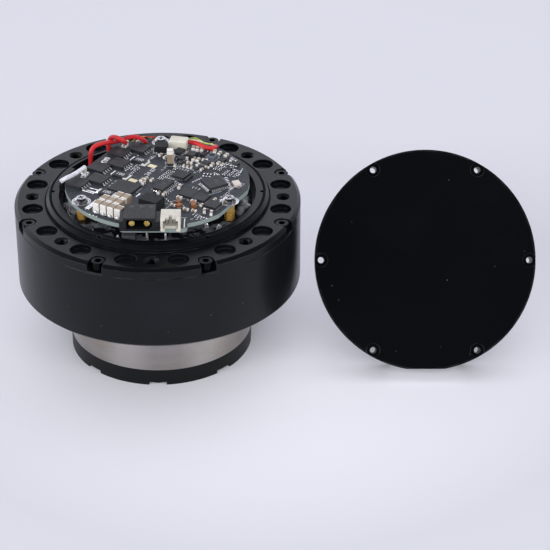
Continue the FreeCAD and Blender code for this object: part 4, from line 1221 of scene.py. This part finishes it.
def potting_resin(columns=180):
    """
    A low ring carried round the axis: its section is flat below and domed above, and the top of the
    dome rises and falls by a few slow waves of the angle.
    """
    turn = np.linspace(0, 2 * np.pi, columns, endpoint=False)[None]
    radius = np.array([14.0, 15.5, 19.0, 22.5, 26.0, 29.5, 31.6, 32.4, 32.4, 14.0])[:, None]
    dome = np.array([0.5, 1.0, 1.35, 1.5, 1.45, 1.2, 0.8, 0.35, 0.0, 0.0])[:, None]
    wave = 1 + 0.24 * np.sin(5 * turn + radius * 0.3) + 0.17 * np.sin(13 * turn - radius * 0.5) \
        + 0.10 * np.sin(29 * turn + radius)
    height = BAY_FLOOR + 0.02 + dome * wave
    one = np.stack((radius * np.cos(turn), radius * np.sin(turn), height), -1)[None, ::-1]
    return rings_mesh("potting_resin", one, "resin", closed=True, smooth=True)


def bay_pegs():
    """Tinned pegs and wire ends that stand up from the resin."""
    spots = [(-12.0, -28.7, 0.7, 0.7, 2.7, 0), (-2.2, -29.0, 0.5, 0.5, 3.6, 0),
             (4.0, -29.2, 0.5, 0.5, 3.6, 0),
             (14.5, -28.0, 0.45, 0.45, 2.2, 0), (21.6, -22.4, 1.2, 0.35, 3.0, 20),
             (-20.6, -24.0, 0.4, 0.4, 2.2, 0),
             (-29.6, -9.6, 0.4, 0.4, 2.4, 0), (17.4, -21.9, 0.9, 0.4, 3.3, 8)]
    return rings_mesh("bay_pegs", beads(spots, base=BAY_FLOOR + 0.4, rows=9, columns=18),
                      smooth=True)


def bay_blocks():
    """The moulded base of the motor's terminals, in front of the resin."""
    rows = [(-8.4, -29.0, 4.4, 2.8, 3.5, 4), (-3.8, -29.6, 3.6, 2.6, 2.4, 2),
            (6.8, -29.6, 3.6, 2.4, 2.0, -6),
            (11.2, -28.8, 3.0, 2.2, 1.8, -14), (18.8, -23.4, 3.8, 1.8, 2.2, -26),
            (-15.8, -26.4, 4.4, 2.2, 1.9, 24),
            (24.6, -19.4, 3.4, 2.0, 1.8, -44), (-22.6, -21.0, 4.2, 2.2, 1.7, 42)]
    return rings_mesh("bay_blocks", boxes(rows, base=BAY_FLOOR, bevel=0.35, corner=0.5, steps=4),
                      "bay_grey")


def sensor_can():
    """A small shiny can under the right edge of the board: a domed lathe body on a wider foot."""
    one = spun([3.0, 3.0, 2.6, 2.6, 2.35, 1.7, 0.8, 0.1], [0, 0.4, 0.5, 2.3, 2.75, 3.0, 3.1, 3.12], 48)
    can = placed(one, [30.0], [-8.6], [BAY_FLOOR + 0.02], [0])
    return rings_mesh("sensor_can", can, "resin", smooth=True)


potting_resin()
bay_pegs()
bay_blocks()
sensor_can()

# %% [markdown]
# ## Threads in the mounting holes
# Eight M5 holes are open to view. A thread needs only its crests to read as one: a sleeve whose inner
# wall goes in and out once every 0.8 mm.

# %% Threads
def hole_threads(pitch=0.8, turns=6):
    top = REAR_FACE / MM - 0.5
    crest = np.tile([2.08, 1.78], turns)
    level = top - np.arange(2 * turns) * pitch / 2
    radius = np.concatenate(([2.09, 2.09], crest[::-1]))
    height = np.concatenate(([top + 0.01, level[-1] - 0.01], level[::-1]))
    one = spun(radius, height, 40)[:, ::-1]
    spot = np.radians(90 + 45 * np.arange(8))
    copies = placed(np.repeat(one, 8, 0), HOLE_CIRCLE * np.cos(spot), HOLE_CIRCLE * np.sin(spot),
                    np.zeros(8), np.zeros(8))
    return rings_mesh("hole_threads", copies, "thread_metal", closed=True)


hole_threads()

# %% Painted highlights round the screw sockets
def socket_highlight_rings():
    """A narrow ring of paler metal round the socket of each of the eight notch screws: a painted highlight.
    """
    spot = np.radians(22.5 + 45 * np.arange(8))
    circle = HOUSING_R / MM - SCREW_INSET
    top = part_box("rear_housing_screws")[1].z / MM
    # Painted highlight: the paler ring stands in for the glint on each socket's edge.
    rings = annulus(1.5, 1.7, 0.03, circle * np.cos(spot), circle * np.sin(spot), top, 32)
    return rings_mesh("socket_highlight_rings", rings, "thread_metal", closed=True)


socket_highlight_rings()
